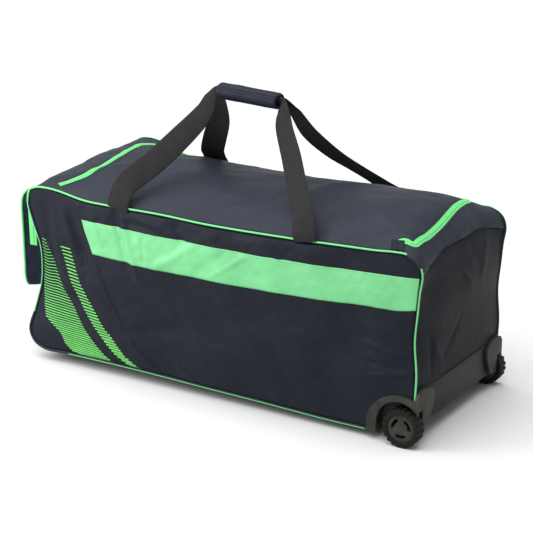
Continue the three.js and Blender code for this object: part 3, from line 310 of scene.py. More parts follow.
class KitBagShell(bpy.types.PropertyGroup):
    body_length: length("Length of the body", 0.900)
    body_width: length("Width of the body", 0.366)
    side_height: length("Height of the side seams", 0.365)
    crown_rise: length("Rise of the top's middle over its seams", 0.058)
    end_bulge: length("Bulge of the two ends", 0.012)
    base_sag: length("Sag of the base under its seams", 0.032)
    panel_bulge: length("Bulge of the long panels", 0.014)
    wall: length("Thickness of the fabric and its foam", 0.002)
    foot_height: length("Height of the wheel end's lower edge", 0.106)
    base_end: length("Place of the base's right edge from the middle", 0.366)


class KitBagTrim(bpy.types.PropertyGroup):
    piping_radius: length("Radius of the piping", 0.0028)
    zip_width: length("Width of the zip tape", 0.014)
    zip_reach: length("Inset of the zip's left run at most", 0.090)
    tab_reach: length("Inset of the zip's front tab from the corner", 0.040)
    coil_width: length("Width of the zip's coil", 0.0045)
    border_height: length("Height of the border over the wheel end", 0.026)
    back_border: length("Width of the border behind the zip", 0.022)
    stitch_pitch: length("Distance of the stitches", 0.0042)
    stitch_radius: length("Radius of the thread", 0.00040)
    roll_radius: length("Radius of the fabric rolled over the piping at the corner", 0.0044)
    roll_end: length("Radius of that roll at its ends", 0.0016)
    roll_start: length("Place of the roll's start from the middle", 0.418)
    roll_foot: length("Height of the roll's lower end", 0.342)
    foot_welt: length("Radius of the welt along the foot of the wheel end", 0.0016)
    piping_foot: length("Height at which the piping ends over the wheels", 0.0915)
    binding_height: FloatProperty(name="Binding height", default=0.285, subtype="FACTOR",
                                  description="Top of the corner binding, as a share of the side")
    binding_reach: FloatProperty(name="Binding reach", default=0.79, subtype="FACTOR",
                                 description="Its other end, as a share of half the length")
    zip_turn: length("Reach of the zip's turn at a back corner", 0.028)
    tab_length: length("Half the length of the zip's front tab", 0.012)
    tab_depth: length("Depth of the zip's front tab", 0.021)
    band_inset: length("Inset of the stitches of the band", 0.0022)


class KitBagPocket(bpy.types.PropertyGroup):
    width: length("Width of the pocket", 0.232)
    height: length("Height of the pocket", 0.210)
    bottom: length("Height of the pocket's lower edge", 0.126)
    depth: length("Depth of the pocket", 0.070)
    lean: length("Lean of the pocket's face", -0.002)
    bulge: length("Bulge of the pocket's face", 0.006)
    zip_width: length("Width of the pocket's zip", 0.019)
    zip_inset: length("Inset of the pocket's zip from its face", 0.015)
    zip_end: FloatProperty(name="Zip end", description="Height of the zip's ends, as a share",
                           default=0.47, subtype="FACTOR")


class KitBagHandles(bpy.types.PropertyGroup):
    spacing: length("Spacing of the legs of a strap", 0.430)
    width: length("Width of the webbing", 0.050)
    thickness: length("Thickness of the webbing", 0.0022)
    height: length("Height of the grip's middle", 0.586)
    grip_length: length("Length of the grip", 0.136)
    grip_lean: length("Lean of the grip to the front", 0.040)
    grip_shift: length("Shift of the grip along the bag", 0.004)
    grip_tilt: length("Drop of the grip from its left end to its right", 0.008)
    grip_depth: length("Depth of the grip", 0.038)
    grip_height: length("Height of the grip's section", 0.031)
    grip_round: length("Radius at which the grip's ripples are laid round it", 0.017)
    straps_apart: length("Distance of the two straps in the grip", 0.007)


class KitBagGear(bpy.types.PropertyGroup):
    arch_radius: length("Radius of the wheel arches", 0.068)
    arch_height: length("Height of the wheel arches", 0.098)
    arch_shift: length("Shift of the arches from the wheels to the middle", 0.008)
    bevel: length("Rounding of the moulded edges", 0.0012)


class KitBagColours(bpy.types.PropertyGroup):
    # The navy nylon comes as lit and shaded copies of one colour. This one is lightened by about a tenth
    # as painted top light for the lid; the left end, the welts and the corner roll share it.
    navy: colour("Coated nylon of the lid and borders", "#272B35")
    # Painted shade: the same navy nylon darkened for the long side panels.
    side: colour("Coated nylon of the long sides", "#1B1E26")
    # Painted shade: the same navy nylon darkened further for the wheel end, which faces away from the
    # light.
    shade: colour("Coated nylon of the wheel end", "#17191E")
    # Painted shade: a darker, bluer copy of the navy nylon for the end pocket, which stands in shadow;
    # the foot welt and the slant seam share it.
    pocket: colour("Coated nylon of the end pocket", "#0F1524")
    dark: colour("Coated nylon of the base and tabs", "#1B1E25")
    grip: colour("Padded grip", "#1A1F2B")
    lime: colour("Lime nylon", "#69BB7D")
    piping: colour("Lime piping and zip tape", "#68C878")
    ink: colour("Printed lines", "#68BC60")
    webbing: colour("Webbing", "#272827")
    moulded: colour("Moulded plastic", "#2C2C28")
    guard: colour("Rubbed moulded plastic", "#3A3A35")
    board: colour("Kick board", "#1B1B1A")
    tyre: colour("Tyres", "#181817")
    floor: colour("Studio floor", "#CACACA")


class KitBagStudio(bpy.types.PropertyGroup):
    azimuth: FloatProperty(name="Azimuth", description="Camera azimuth", default=math.radians(31.6),
                           subtype="ANGLE")
    elevation: FloatProperty(name="Elevation", description="Camera elevation",
                             default=math.radians(17.56), subtype="ANGLE")
    distance: length("Distance of the camera", 3.193)
    lens: FloatProperty(name="Lens", description="Focal length in millimetres", default=106.4)
    aim_x: length("Aim along the bag", 0.0167)
    aim_z: length("Aim above the floor", 0.2288)


GROUPS = {
    "kit_shell": KitBagShell, "kit_trim": KitBagTrim, "kit_pocket": KitBagPocket,
    "kit_handles": KitBagHandles, "kit_gear": KitBagGear, "kit_colours": KitBagColours,
    "kit_studio": KitBagStudio,
}


# Shapes worked out with numpy

def catmull_rom(knots, turns):
    """Closed smooth curve through the knots. Each span is the cubic between its two knots whose
    end slopes weigh the neighbouring chords by the square root of their lengths."""
    count = len(knots)
    place = (np.asarray(turns) % 1.0) * count
    index = np.floor(place).astype(int) % count
    t = (place - np.floor(place))[..., None]
    p0, p1, p2, p3 = (knots[(index + step) % count] for step in (-1, 0, 1, 2))
    d0, d1, d2 = (np.maximum(np.linalg.norm(b - a, axis=-1, keepdims=True), 1e-8) ** 0.5
                  for a, b in ((p0, p1), (p1, p2), (p2, p3)))
    m1 = ((p1 - p0) / d0 - (p2 - p0) / (d0 + d1) + (p2 - p1) / d1) * d1
    m2 = ((p2 - p1) / d1 - (p3 - p1) / (d1 + d2) + (p3 - p2) / d2) * d1
    return p1 + m1 * t + (3 * (p2 - p1) - 2 * m1 - m2) * t**2 + (2 * (p1 - p2) + m1 + m2) * t**3


def open_curve(knots, shares):
    """Smooth curve through open knots: the closed one with the knots carried past both ends."""
    first, last = 2 * knots[0] - knots[1], 2 * knots[-1] - knots[-2]
    whole = np.vstack([knots, last, first])
    return catmull_rom(whole, np.asarray(shares) * (len(knots) - 1) / len(whole))


def drawn_line(rows, shares):
    """Smooth line in metres through a table of centimetres along the bag and up."""
    return open_curve(np.array([(x, 0, z) for x, z in rows]) * 10, shares) / 1000


def unit(vectors):
    return vectors / np.maximum(np.linalg.norm(vectors, axis=-1, keepdims=True), 1e-12)


def run_along(points):
    """Length of the line through the points from its first point to each."""
    return np.concatenate([[0], np.cumsum(np.linalg.norm(np.diff(points, axis=0), axis=-1))])


def round_angles(count):
    """Equal angles once round."""
    return np.linspace(0, 2 * np.pi, count, endpoint=False)


def ripples(u, v, seed, size, height):
    """Soft unevenness: the sum of 14 sine waves in seeded directions, each with a wavelength
    from 0.6 to 1.8 times size, divided by the root of their number and times height."""
    rng = np.random.default_rng(seed)
    total = np.zeros_like(u)
    for angle, phase, stretch in rng.uniform(0.0, 1.0, (14, 3)):
        wave = 2 * np.pi / (size * (0.6 + 1.2 * stretch))
        total += np.sin(wave * (u * np.cos(np.pi * angle) + v * np.sin(np.pi * angle))
                        + 2 * np.pi * phase)
    return total * height / math.sqrt(14 / 2)


def unevenness(u, v, face):
    """Sum of the ripples of a face."""
    return sum(ripples(u, v, *row) for row in UNEVEN[face])


def crease_height(u, v, rows):
    """Height of all creases at each point: each is a bell across its line, with the square of the
    distance over its width in the power of e, and fades out past its two ends in the same way."""
    total = np.zeros_like(u)
    for u0, v0, u1, v1, width, height in rows:
        start, end = np.array([u0, v0]) / 100, np.array([u1, v1]) / 100
        line = end - start
        reach = np.linalg.norm(line)
        along = ((u - start[0]) * line[0] + (v - start[1]) * line[1]) / reach
        side = ((v - start[1]) * line[0] - (u - start[0]) * line[1]) / reach
        past = np.maximum(np.abs(along - reach / 2) - reach / 2 * 0.6, 0) / (reach * 0.25)
        bell = np.exp(-(side / (width / 1000)) ** 2)
        total += height / 1000 * bell * np.exp(-past**2)
    return total


class Shell:
    """The bag's sewn body. A station counts the rows of the outline, clockwise from the top left
    corner, and across runs from -1 at the front seam to 1 at the back seam."""

    def __init__(self, scene):
        self.sizes = sizes = scene.kit_shell
        self.half = sizes.body_length / 2
        self.half_width = sizes.body_width / 2
        depths = {"top": sizes.crown_rise, "right": sizes.end_bulge, "bottom": sizes.base_sag,
                  "left": sizes.end_bulge}
        seams, middles = [], []
        for edge, rows in EDGES.items():
            row = dict(zip(EDGE_COLUMNS, np.array(rows).T))
            # The curve's spans are timed in millimetres, as in the solid.
            depth = depths[edge] * 1000
            x, z = row["x"] * self.half * 1000, row["z"] * sizes.side_height * 1000
            seams.append(np.stack([x, row["fullness"], z], 1))
            middles.append(np.stack([
                x + row["shift_x"] * depth, row["tilt"] * depth, z + row["shift_z"] * depth], 1))
        self.seam, self.middle = np.vstack(seams), np.vstack(middles)
        self.lap = len(self.seam)
        counts = [len(rows) for rows in EDGES.values()]
        self.right, self.bottom, self.left = np.cumsum(counts)[:3]
        self.edge = scene.kit_trim.piping_radius + 0.0005

    def section(self, station, across):
        """Point between the seam's place and the middle's: its share of the middle is 1 less
        the size of across to the power of the fullness, and the back is raised by the tilt."""
        station, across = np.broadcast_arrays(np.asarray(station, float), np.asarray(across, float))
        seam = catmull_rom(self.seam, station / self.lap)
        middle = catmull_rom(self.middle, station / self.lap)
        share = 1 - np.abs(across) ** seam[..., 1]
        x = seam[..., 0] + (middle[..., 0] - seam[..., 0]) * share
        z = seam[..., 2] + (middle[..., 2] - seam[..., 2]) * share + middle[..., 1] * (1 + across) / 2
        return np.stack([x / 1000, across * self.half_width, z / 1000], -1)

    def outward(self, station, across):
        """Direction out of the shell in the plane of the section."""
        along = self.section(station + 0.02, across) - self.section(station - 0.02, across)
        return unit(np.stack([-along[..., 2], np.zeros_like(along[..., 0]), along[..., 0]], -1))

    def point(self, station, across, lift=0.0):
        """Point of the shell, flat on the floor at its lowest, raised along outward by lift."""
        station = np.asarray(station, float)
        place = self.section(station, across)
        place[..., 2] = np.maximum(place[..., 2], 0)
        lift = np.broadcast_to(np.asarray(lift, float), place[..., 0].shape)
        return place + self.outward(station, across) * lift[..., None]

    def raised(self, stations, across, lift):
        """Top surface raised square to itself, along the cross product of its two slopes."""
        step = np.array([0.01, 0.004])
        along = self.top(stations + step[0], across) - self.top(stations - step[0], across)
        over = self.top(stations, across + step[1]) - self.top(stations, across - step[1])
        normal = unit(np.cross(along, over))
        normal = normal * np.sign((normal * self.outward(stations, across)).sum(-1, keepdims=True))
        lift = np.broadcast_to(np.asarray(lift, float), normal[..., 0].shape)
        return self.top(stations, across) + normal * lift[..., None], normal

    def past(self, station, run):
        """Station a given length further along the front seam."""
        ends = self.point(np.array([station - 0.02, station + 0.02]), -1)
        return station + run / (np.linalg.norm(ends[1] - ends[0]) / 0.04)

    def where(self, axis, value, first, last, across=-1.0):
        """First station between two others whose point reaches the value on one axis."""
        stations = np.linspace(first, last, 4000)
        places = self.point(stations, across)[:, axis] - value
        crossing = np.nonzero(np.diff(np.sign(places)))[0]
        return stations[crossing[0]] if len(crossing) else stations[np.argmin(np.abs(places))]

    def even(self, first, last, count):
        """Stations between two at equal lengths along the front seam."""
        fine = np.linspace(first, last, 600)
        run = run_along(self.section(fine, -1))
        return np.interp(np.linspace(0, run[-1], count + 1), run, fine)

    def soft_lift(self, place, axes, creases, face):
        """Creases and unevenness over two axes, faded out at the two seams."""
        u, v = place[..., axes[0]], place[..., axes[1]]
        fade = np.clip((1 - np.abs(place[..., 1]) / self.half_width) * 9, 0, 1)
        return fade * (crease_height(u, v, creases) + unevenness(u, v, face))

    def top(self, stations, across):
        lift = self.soft_lift(self.point(stations, across), (0, 1), TOP_CREASES, "top")
        return self.point(stations, across, lift)

    def end(self, stations, across):
        lift = self.soft_lift(self.point(stations, across), (1, 2), END_CREASES, "end")
        return self.point(stations, across, lift)

    def panel(self, side, along, up, lift=0.0):
        """Long side panel: the sum of the two blends between opposite seams, less the blend of
        the four corners. It is crowned by the fourth root of its distances to the seams, and carries
        the folds, creases and unevenness, which fade out at the seams."""
        along, up = np.broadcast_arrays(np.asarray(along, float), np.asarray(up, float))
        tables = [self.even(self.left, self.bottom, 200), self.even(0, self.right, 200),
                  self.even(self.left, self.lap, 200), self.even(self.bottom, self.right, 200)]
        seams = [self.point(np.interp(share * 200, np.arange(201), table), side, -self.edge)
                 for share, table in zip((along, along, up, up), tables)]
        corners = np.zeros_like(seams[0])
        for a in (0, 1):
            for u in (0, 1):
                table = tables[1] if u else tables[0]
                corner = self.point(table[-a], side, -self.edge)
                corners += corner * ((along if a else 1 - along) * (up if u else 1 - up))[..., None]
        a, u = along[..., None], up[..., None]
        place = seams[0] * (1 - u) + seams[1] * u + seams[2] * (1 - a) + seams[3] * a - corners
        inner = np.sqrt(np.maximum(16 * along * (1 - along) * up * (1 - up), 0))
        crown = np.minimum(inner * 1.15, 1) * (0.75 + 0.25 * inner)
        fold = np.zeros_like(crown)
        height = self.sizes.side_height
        for x, z, reach, width, turn, size in PANEL_FOLDS:
            slope = math.radians(turn)
            dx, dz = (along - x) * self.sizes.body_length, (up - z) * height
            run = (dx * math.cos(slope) + dz * math.sin(slope)) / (reach * height / 2)
            across = (dz * math.cos(slope) - dx * math.sin(slope)) / (width * height)
            fold += size * np.exp(-run**2 - across**2)
        fade = np.minimum(inner * 1.6, 1)
        x, z = place[..., 0], place[..., 2]
        small = unevenness(x, z, "front" if side < 0 else "back")
        if side < 0:
            small = small + crease_height(x, z, FRONT_CREASES)
        bulge = np.maximum((crown + fold * fade) * self.sizes.panel_bulge, 0)
        place[..., 1] = side * (self.half_width + bulge + np.minimum(inner * 2.5, 1) * small + lift)
        return place

    def spot(self, side, x, z, lift=0.0):
        """Point of a long panel at a place along the bag and up: shares are corrected by the
        distance that is left, over the length and the height, eight times."""
        x, z = np.broadcast_arrays(np.asarray(x, float), np.asarray(z, float))
        along, up = x / (2 * self.half) + 0.5, z / self.sizes.side_height
        for _ in range(8):
            place = self.panel(side, along, up)
            along = np.clip(along + (x - place[..., 0]) / (2 * self.half), 0.0005, 0.9995)
            up = np.clip(up + (z - place[..., 2]) / self.sizes.side_height, 0.0005, 0.9995)
        return self.panel(side, along, up, lift)


# Meshes

def place_mesh(name, vertices, faces, material, uv=None):
    """Mesh object of bag coordinates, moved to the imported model's frame and shaded smooth."""
    mesh = bpy.data.meshes.new(name)
    shifted = np.asarray(vertices, float) + np.array([BAG_X, 0, 0])
    mesh.from_pydata(shifted, [], faces.tolist() if isinstance(faces, np.ndarray) else faces)
    mesh.polygons.foreach_set("use_smooth", np.ones(len(mesh.polygons), bool))
    if uv is not None:
        layer = mesh.uv_layers.new(name="cloth")
        corners = np.empty(len(mesh.loops), int)
        mesh.loops.foreach_get("vertex_index", corners)
        layer.data.foreach_set("uv", uv[corners].ravel())
    mesh.materials.append(material)
    mesh.update()
    piece = bpy.data.objects.new(name, mesh)
    bpy.context.scene.collection.objects.link(piece)
    return piece


def cloth_uv(points):
    """Cloth coordinates in metres: lengths along the middle row and the middle column."""
    rows, columns = points.shape[:2]
    u, v = run_along(points[:, columns // 2]), run_along(points[rows // 2])
    return np.stack(np.meshgrid(u, v, indexing="ij"), -1).reshape(-1, 2)


def grid_faces(rows, columns, wrap_rows=False, wrap_columns=False):
    """Corners of the quads of a grid, closed round either way."""
    i = np.arange(rows if wrap_rows else rows - 1)[:, None]
    j = np.arange(columns if wrap_columns else columns - 1)[None, :]
    i2, j2 = (i + 1) % rows, (j + 1) % columns
    quads = np.stack([i * columns + j, i2 * columns + j, i2 * columns + j2, i * columns + j2], -1)
    return quads.reshape(-1, 4)


def sheet(name, points, material, thickness=0.0, keep=None, heart=BODY_HEART):
    """Cloth over a grid of points of its outer face, with its thickness under it."""
    rows, columns = points.shape[:2]
    faces = grid_faces(rows, columns)
    if keep is not None:
        faces = faces[keep[faces].all(axis=1)]
    piece = place_mesh(name, points.reshape(-1, 3), faces, material, cloth_uv(points))
    face_out(piece, heart)
    if thickness:
        wall = piece.modifiers.new("Wall", "SOLIDIFY")
        wall.thickness = thickness
        wall.offset = -1.0
        wall.use_even_offset = False
    return piece


def tube(name, centres, rings, material, closed=False):
    """Bead through rings of points, one for each centre, capped by a fan at both open ends."""
    count, sides = rings.shape[:2]
    faces = grid_faces(count, sides, closed, True).tolist()
    vertices = rings.reshape(-1, 3)
    girth = np.linalg.norm(rings[0, 1] - rings[0, 0]) * np.arange(sides)
    uv = np.stack(np.meshgrid(run_along(centres), girth, indexing="ij"), -1).reshape(-1, 2)
    if not closed:
        vertices = np.vstack([vertices, centres[0], centres[-1]])
        uv = np.vstack([uv, uv[0], uv[-1]])
        first, last, end = count * sides, count * sides + 1, (count - 1) * sides
        for j in range(sides):
            k = (j + 1) % sides
            faces.append([first, j, k])
            faces.append([last, end + k, end + j])
    piece = place_mesh(name, vertices, faces, material, uv)
    outside(piece)
    return piece


def face_out(piece, heart):
    """Turns an open sheet over where most of its area looks towards the heart of the bag."""
    mesh = piece.data
    count = len(mesh.polygons)
    centres, normals, areas = np.empty(count * 3), np.empty(count * 3), np.empty(count)
    mesh.polygons.foreach_get("center", centres)
    mesh.polygons.foreach_get("normal", normals)
    mesh.polygons.foreach_get("area", areas)
    away = centres.reshape(-1, 3) - np.array([heart[0] + BAG_X, heart[1], heart[2]])
    if ((away * normals.reshape(-1, 3)).sum(1) * areas).sum() < 0:
        mesh.flip_normals()


def outside(piece):
    """Turns the faces of a closed mesh outwards."""
    mesh = bmesh.new()
    mesh.from_mesh(piece.data)
    bmesh.ops.recalc_face_normals(mesh, faces=mesh.faces)
    mesh.to_mesh(piece.data)
    mesh.free()


def rings_about(centres, first, second, sides, radius, second_radius=None):
    """Ellipses about each centre in the plane of two directions."""
    angles = round_angles(sides)
    second_radius = radius if second_radius is None else second_radius
    return (centres[:, None] + np.cos(angles)[None, :, None] * first[:, None] * radius
            + np.sin(angles)[None, :, None] * second[:, None] * second_radius)


def stitches(name, line, outward, finish, pitch, radius):
    """Row of stitches along a line: six-sided beads, 0.7 of the pitch long and closed by a point
    at each end, half sunk into the cloth."""
    run = run_along(line)
    places = np.arange(pitch / 2, run[-1] - pitch / 2, pitch)
    at = lambda rows, where: np.stack([np.interp(where, run, rows[:, k]) for k in range(3)], 1)
    centre, up = at(line, places), unit(at(outward, places))
    ahead = unit(at(line, places + pitch / 4) - at(line, places - pitch / 4))
    side = unit(np.cross(ahead, up))
    angles = round_angles(6)
    ring = (side[:, None] * np.cos(angles)[:, None] + up[:, None] * np.sin(angles)[:, None]) * radius
    reach = ahead * pitch * 0.35
    points = np.concatenate([
        (centre - reach)[:, None], (centre - reach * 0.75)[:, None] + ring,
        (centre + reach * 0.75)[:, None] + ring, (centre + reach)[:, None]], axis=1)
    j = np.arange(6)
    k = (j + 1) % 6
    bead = np.concatenate([
        np.stack([0 * j, 1 + k, 1 + j], 1), np.stack([1 + j, 1 + k, 7 + k], 1),
        np.stack([1 + j, 7 + k, 7 + j], 1), np.stack([0 * j + 13, 7 + j, 7 + k], 1)])
    faces = (bead[None] + 14 * np.arange(len(places))[:, None, None]).reshape(-1, 3)
    piece = place_mesh(name, points.reshape(-1, 3), faces, stuff(finish), points.reshape(-1, 3)[:, :2])
    outside(piece)
    return piece


def dress(piece, slot, *nodes, body="bag"):
    """Puts a piece on its body, in the place of the solids that it stands for."""
    if nodes:
        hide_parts(*nodes)
    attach(piece, body)
    return piece


# Materials

def add(tree, kind, settings=None, **inputs):
    """Adds a node, sets its own settings, and sets or links its inputs by name. An underscore
    stands for a space in an input's name, and in0 or in1 picks an input by its number."""
    node = tree.nodes.new(kind)
    for key, value in (settings or {}).items():
        setattr(node, key, value)
    for key, value in inputs.items():
        numbered = key.startswith("in") and key[2:].isdigit()
        socket = node.inputs[int(key[2:]) if numbered else key.replace("_", " ")]
        if isinstance(value, bpy.types.NodeSocket):
            tree.links.new(value, socket)
        else:
            socket.default_value = value
    return node


def new_material(name, base, **sockets):
    """Material with one shader. Uniform values are set on the shader's own sockets."""
    material = bpy.data.materials.new(name)
    material.use_nodes = True
    tree = material.node_tree
    tree.nodes.clear()
    shader = tree.nodes.new("ShaderNodeBsdfPrincipled")
    output = tree.nodes.new("ShaderNodeOutputMaterial")
    tree.links.new(shader.outputs["BSDF"], output.inputs["Surface"])
    material.diffuse_color = (*base, 1.0)
    shader.inputs["Base Color"].default_value = (*base, 1.0)
    for key, value in sockets.items():
        shader.inputs[key.replace("_", " ")].default_value = value
    return material, tree, shader


def shade(base, factor):
    return tuple(channel * factor for channel in base) + (1.0,)


def vary_colour(tree, shader, base, size, low, high):
    """Soft cloudy change of the colour over patches of the given size in metres."""
    where = add(tree, "ShaderNodeTexCoord")
    cloud = add(tree, "ShaderNodeTexNoise", Vector=where.outputs["Object"], Scale=1 / size,
                Detail=4.0, Roughness=0.55)
    ramp = add(tree, "ShaderNodeValToRGB", Fac=cloud.outputs["Fac"])
    ramp.color_ramp.elements[0].position = 0.3
    ramp.color_ramp.elements[0].color = shade(base, low)
    ramp.color_ramp.elements[1].position = 0.7
    ramp.color_ramp.elements[1].color = shade(base, high)
    tree.links.new(ramp.outputs["Color"], shader.inputs["Base Color"])
    return where, ramp


def weave_height(tree, where, spacing, turn=0.0):
    """Height of a plain weave: the product of two sets of threads across each other."""
    waves = []
    for angle in (0.0, math.pi / 2):
        turned = add(tree, "ShaderNodeMapping", Vector=where, Rotation=(0, 0, turn + angle))
        wave = add(tree, "ShaderNodeTexWave", {"wave_type": "BANDS", "bands_direction": "X"},
                   Vector=turned.outputs["Vector"], Scale=1 / (spacing * 3.18), Distortion=0.4,
                   Detail=1.0, Detail_Scale=1.0)
        waves.append(wave.outputs["Fac"])
    both = add(tree, "ShaderNodeMath", {"operation": "MULTIPLY"}, in0=waves[0], in1=waves[1])
    return both.outputs["Value"]


def bump(tree, shader, height, distance, strength=1.0, below=None):
    """Relief of the given depth in metres, over a second one if it is named."""
    node = add(tree, "ShaderNodeBump", Height=height, Distance=distance, Strength=strength)
    if below is not None:
        tree.links.new(below, node.inputs["Normal"])
    tree.links.new(node.outputs["Normal"], shader.inputs["Normal"])
    return node.outputs["Normal"]


def coated_nylon(name, base, roughness=0.46, gloss=0.12):
    """Nylon with a polyurethane coat inside: a fine plain weave with a satin gloss, which
    puckers softly. The thread is 0.5 mm apart; it is drawn 1.6 mm apart so that it shows."""
    material, tree, shader = new_material(name, base, Roughness=roughness, IOR=1.5,
                                          Specular_IOR_Level=gloss)
    vary_colour(tree, shader, base, 0.07, 0.90, 1.10)
    cloth = add(tree, "ShaderNodeUVMap", {"uv_map": "cloth"})
    where = add(tree, "ShaderNodeTexCoord")
    pucker = add(tree, "ShaderNodeTexNoise", Vector=where.outputs["Object"], Scale=1 / 0.022,
                 Detail=5.0, Roughness=0.6, Distortion=0.4)
    soft = bump(tree, shader, pucker.outputs["Fac"], 0.0022, 0.55)
    bump(tree, shader, weave_height(tree, cloth.outputs["UV"], 0.0016), 0.00025, 0.35, soft)
    return material


def lime_tape(name, base, spacing=0.0011):
    """Woven nylon tape: matt, with fine ribs across it."""
    material, tree, shader = new_material(name, base, Roughness=0.62, IOR=1.5, Specular_IOR_Level=0.15)
    vary_colour(tree, shader, base, 0.03, 0.94, 1.04)
    cloth = add(tree, "ShaderNodeUVMap", {"uv_map": "cloth"})
    bump(tree, shader, weave_height(tree, cloth.outputs["UV"], spacing), 0.0003, 0.5)
    return material


def piping_cloth(name, base):
    """Bias-cut satin tape round a cord: glossy along the bead, with slanting threads."""
    material, tree, shader = new_material(name, base, Roughness=0.38, IOR=1.5, Specular_IOR_Level=0.25)
    vary_colour(tree, shader, base, 0.02, 0.93, 1.05)
    cloth = add(tree, "ShaderNodeUVMap", {"uv_map": "cloth"})
    bump(tree, shader, weave_height(tree, cloth.outputs["UV"], 0.001, math.pi / 4), 0.0002, 0.4)
    return material


def print_ink(name, base):
    """Screen-printed ink: flat, slightly uneven colour."""
    material, tree, shader = new_material(name, base, Roughness=0.6, IOR=1.45, Specular_IOR_Level=0.15)
    vary_colour(tree, shader, base, 0.012, 0.88, 1.05)
    return material


def polypropylene_webbing(name, base):
    """Woven polypropylene webbing: dull, with ribs 3 mm apart along it and fine cross threads."""
    material, tree, shader = new_material(name, base, Roughness=0.82, IOR=1.49, Specular_IOR_Level=0.12)
    vary_colour(tree, shader, base, 0.012, 0.86, 1.12)
    cloth = add(tree, "ShaderNodeUVMap", {"uv_map": "cloth"})
    turned = add(tree, "ShaderNodeMapping", Vector=cloth.outputs["UV"], Rotation=(0, 0, math.pi / 2))
    rib = add(tree, "ShaderNodeTexWave", {"wave_type": "BANDS", "bands_direction": "X"},
              Vector=turned.outputs["Vector"], Scale=1 / (0.003 * 3.18), Distortion=0.3)
    ribs = bump(tree, shader, rib.outputs["Fac"], 0.0003, 0.45)
    bump(tree, shader, weave_height(tree, cloth.outputs["UV"], 0.0014, math.pi / 4), 0.0003, 0.5, ribs)
    return material


def moulded_plastic(name, base, roughness=0.5, grain=0.0018, rubbed=None):
    """Injection-moulded polypropylene: spark-eroded grain, a dull gloss and paler rubbed patches."""
    material, tree, shader = new_material(name, base, Roughness=roughness, IOR=1.49,
                                          Specular_IOR_Level=0.12)
    where, ramp = vary_colour(tree, shader, base, 0.025, 0.88, 1.12)
    if rubbed:
        ramp.color_ramp.elements[1].color = (*rubbed, 1.0)
    grit = add(tree, "ShaderNodeTexNoise", Vector=where.outputs["Object"], Scale=1 / grain, Detail=3.0)
    bump(tree, shader, grit.outputs["Fac"], 0.0002, 0.4)
    return material


def make_materials(scene):
    """All materials, each named for its real one; the navy nylon is split into lit and shaded copies
    that carry painted light and shade.
    """
    tones = scene.kit_colours
    pick = lambda key: tuple(getattr(tones, key))
    return {
        # The first four are one navy nylon: a lit copy with painted top light, and three darker copies
        # with painted shade.
        "navy": coated_nylon("coated_nylon_navy", pick("navy")),
        "side": coated_nylon("coated_nylon_side", pick("side"), 0.46, 0.08),
        "shade": coated_nylon("coated_nylon_end", pick("shade"), 0.5, 0.06),
        "pocket": coated_nylon("coated_nylon_pocket", pick("pocket"), 0.5, 0.08),
        "dark": coated_nylon("coated_nylon_dark", pick("dark"), 0.55, 0.10),
        "grip": coated_nylon("coated_nylon_grip", pick("grip"), 0.42, 0.14),
        "lime": coated_nylon("coated_nylon_lime", pick("lime"), 0.42, 0.40),
        "tape": lime_tape("woven_nylon_tape", pick("piping")),
        "piping": piping_cloth("satin_piping", pick("piping")),
        "ink": print_ink("screen_print_ink", pick("ink")),
        "webbing": polypropylene_webbing("polypropylene_webbing", pick("webbing")),
        "moulded": moulded_plastic("moulded_polypropylene", pick("moulded"), 0.48, 0.0018,
                                   pick("guard")),
        "board": moulded_plastic("polyethylene_board", pick("board"), 0.45, 0.003),
        "tyre": moulded_plastic("moulded_tyre", pick("tyre"), 0.55, 0.0015),
        "thread": lime_tape("polyester_thread", pick("dark"), 0.0008),
    }


MATERIALS = {}


def stuff(name):
    """A material by its short name, made with all the others the first time."""
    if not MATERIALS:
        MATERIALS.update(make_materials(bpy.context.scene))
    return MATERIALS[name]


def zip_middles(shell, trim, across):
    """Stations of the middle of the zip's left and right runs at shares across: smooth curves
    through the table of insets from the two ends of the top seam."""
    share, left, right = np.array(ZIP_RUNS).T
    fine = np.linspace(0, shell.right, 1200)
    run = run_along(shell.section(fine, -1))
    smooth = [open_curve(np.stack([share, side, 0 * side], 1), np.linspace(0, 1, 400))
              for side in (left, right)]
    inset_left, inset_right = (np.interp(across, line[:, 0], line[:, 1]) * trim.zip_reach
                               for line in smooth)
    pace = shell.past(shell.right, 0.001) - shell.right
    return np.interp(inset_left, run, fine), shell.right - inset_right * pace * 1000


class KITBAG_OT_top(bpy.types.Operator):
    """Builds the lid and the three borders round it from the shell's top surface"""
    bl_idname = "kitbag.top"
    bl_label = "Lid and borders"

    def execute(self, context):
        shell, trim = Shell(context.scene), context.scene.kit_trim
        seam = 1 - shell.edge / shell.half_width
        zip_line = seam - (trim.back_border + trim.zip_width / 2) / shell.half_width
        end_seam = shell.past(shell.right, trim.border_height)
        patches = [
            ("lid", "left", "right", -seam, zip_line, 260, 130, "lid_panel"),
            ("border_left", "start", "left", -seam, seam, 40, 140, "top_border_left"),
            ("border_right", "right", "end", -seam, seam, 30, 140, "top_border_right"),
            ("border_back", "left", "right", zip_line, seam, 200, 12, "top_border_back"),
        ]
        for name, first, last, front, back, rows, columns, node in patches:
            across = np.linspace(front, back, columns + 1)
            left, right = zip_middles(shell, trim, across)
            lines = {"start": 0 * across, "left": left, "right": right, "end": 0 * across + end_seam}
            share = np.linspace(0, 1, rows + 1)[:, None]
            stations = lines[first] + (lines[last] - lines[first]) * share
            points = shell.top(stations, across[None, :])
            # The lid and borders take the lit copy of the navy nylon: painted top light.
            dress(sheet(name, points, stuff("navy"), shell.sizes.wall), "navy_fabric", node)
        return {"FINISHED"}


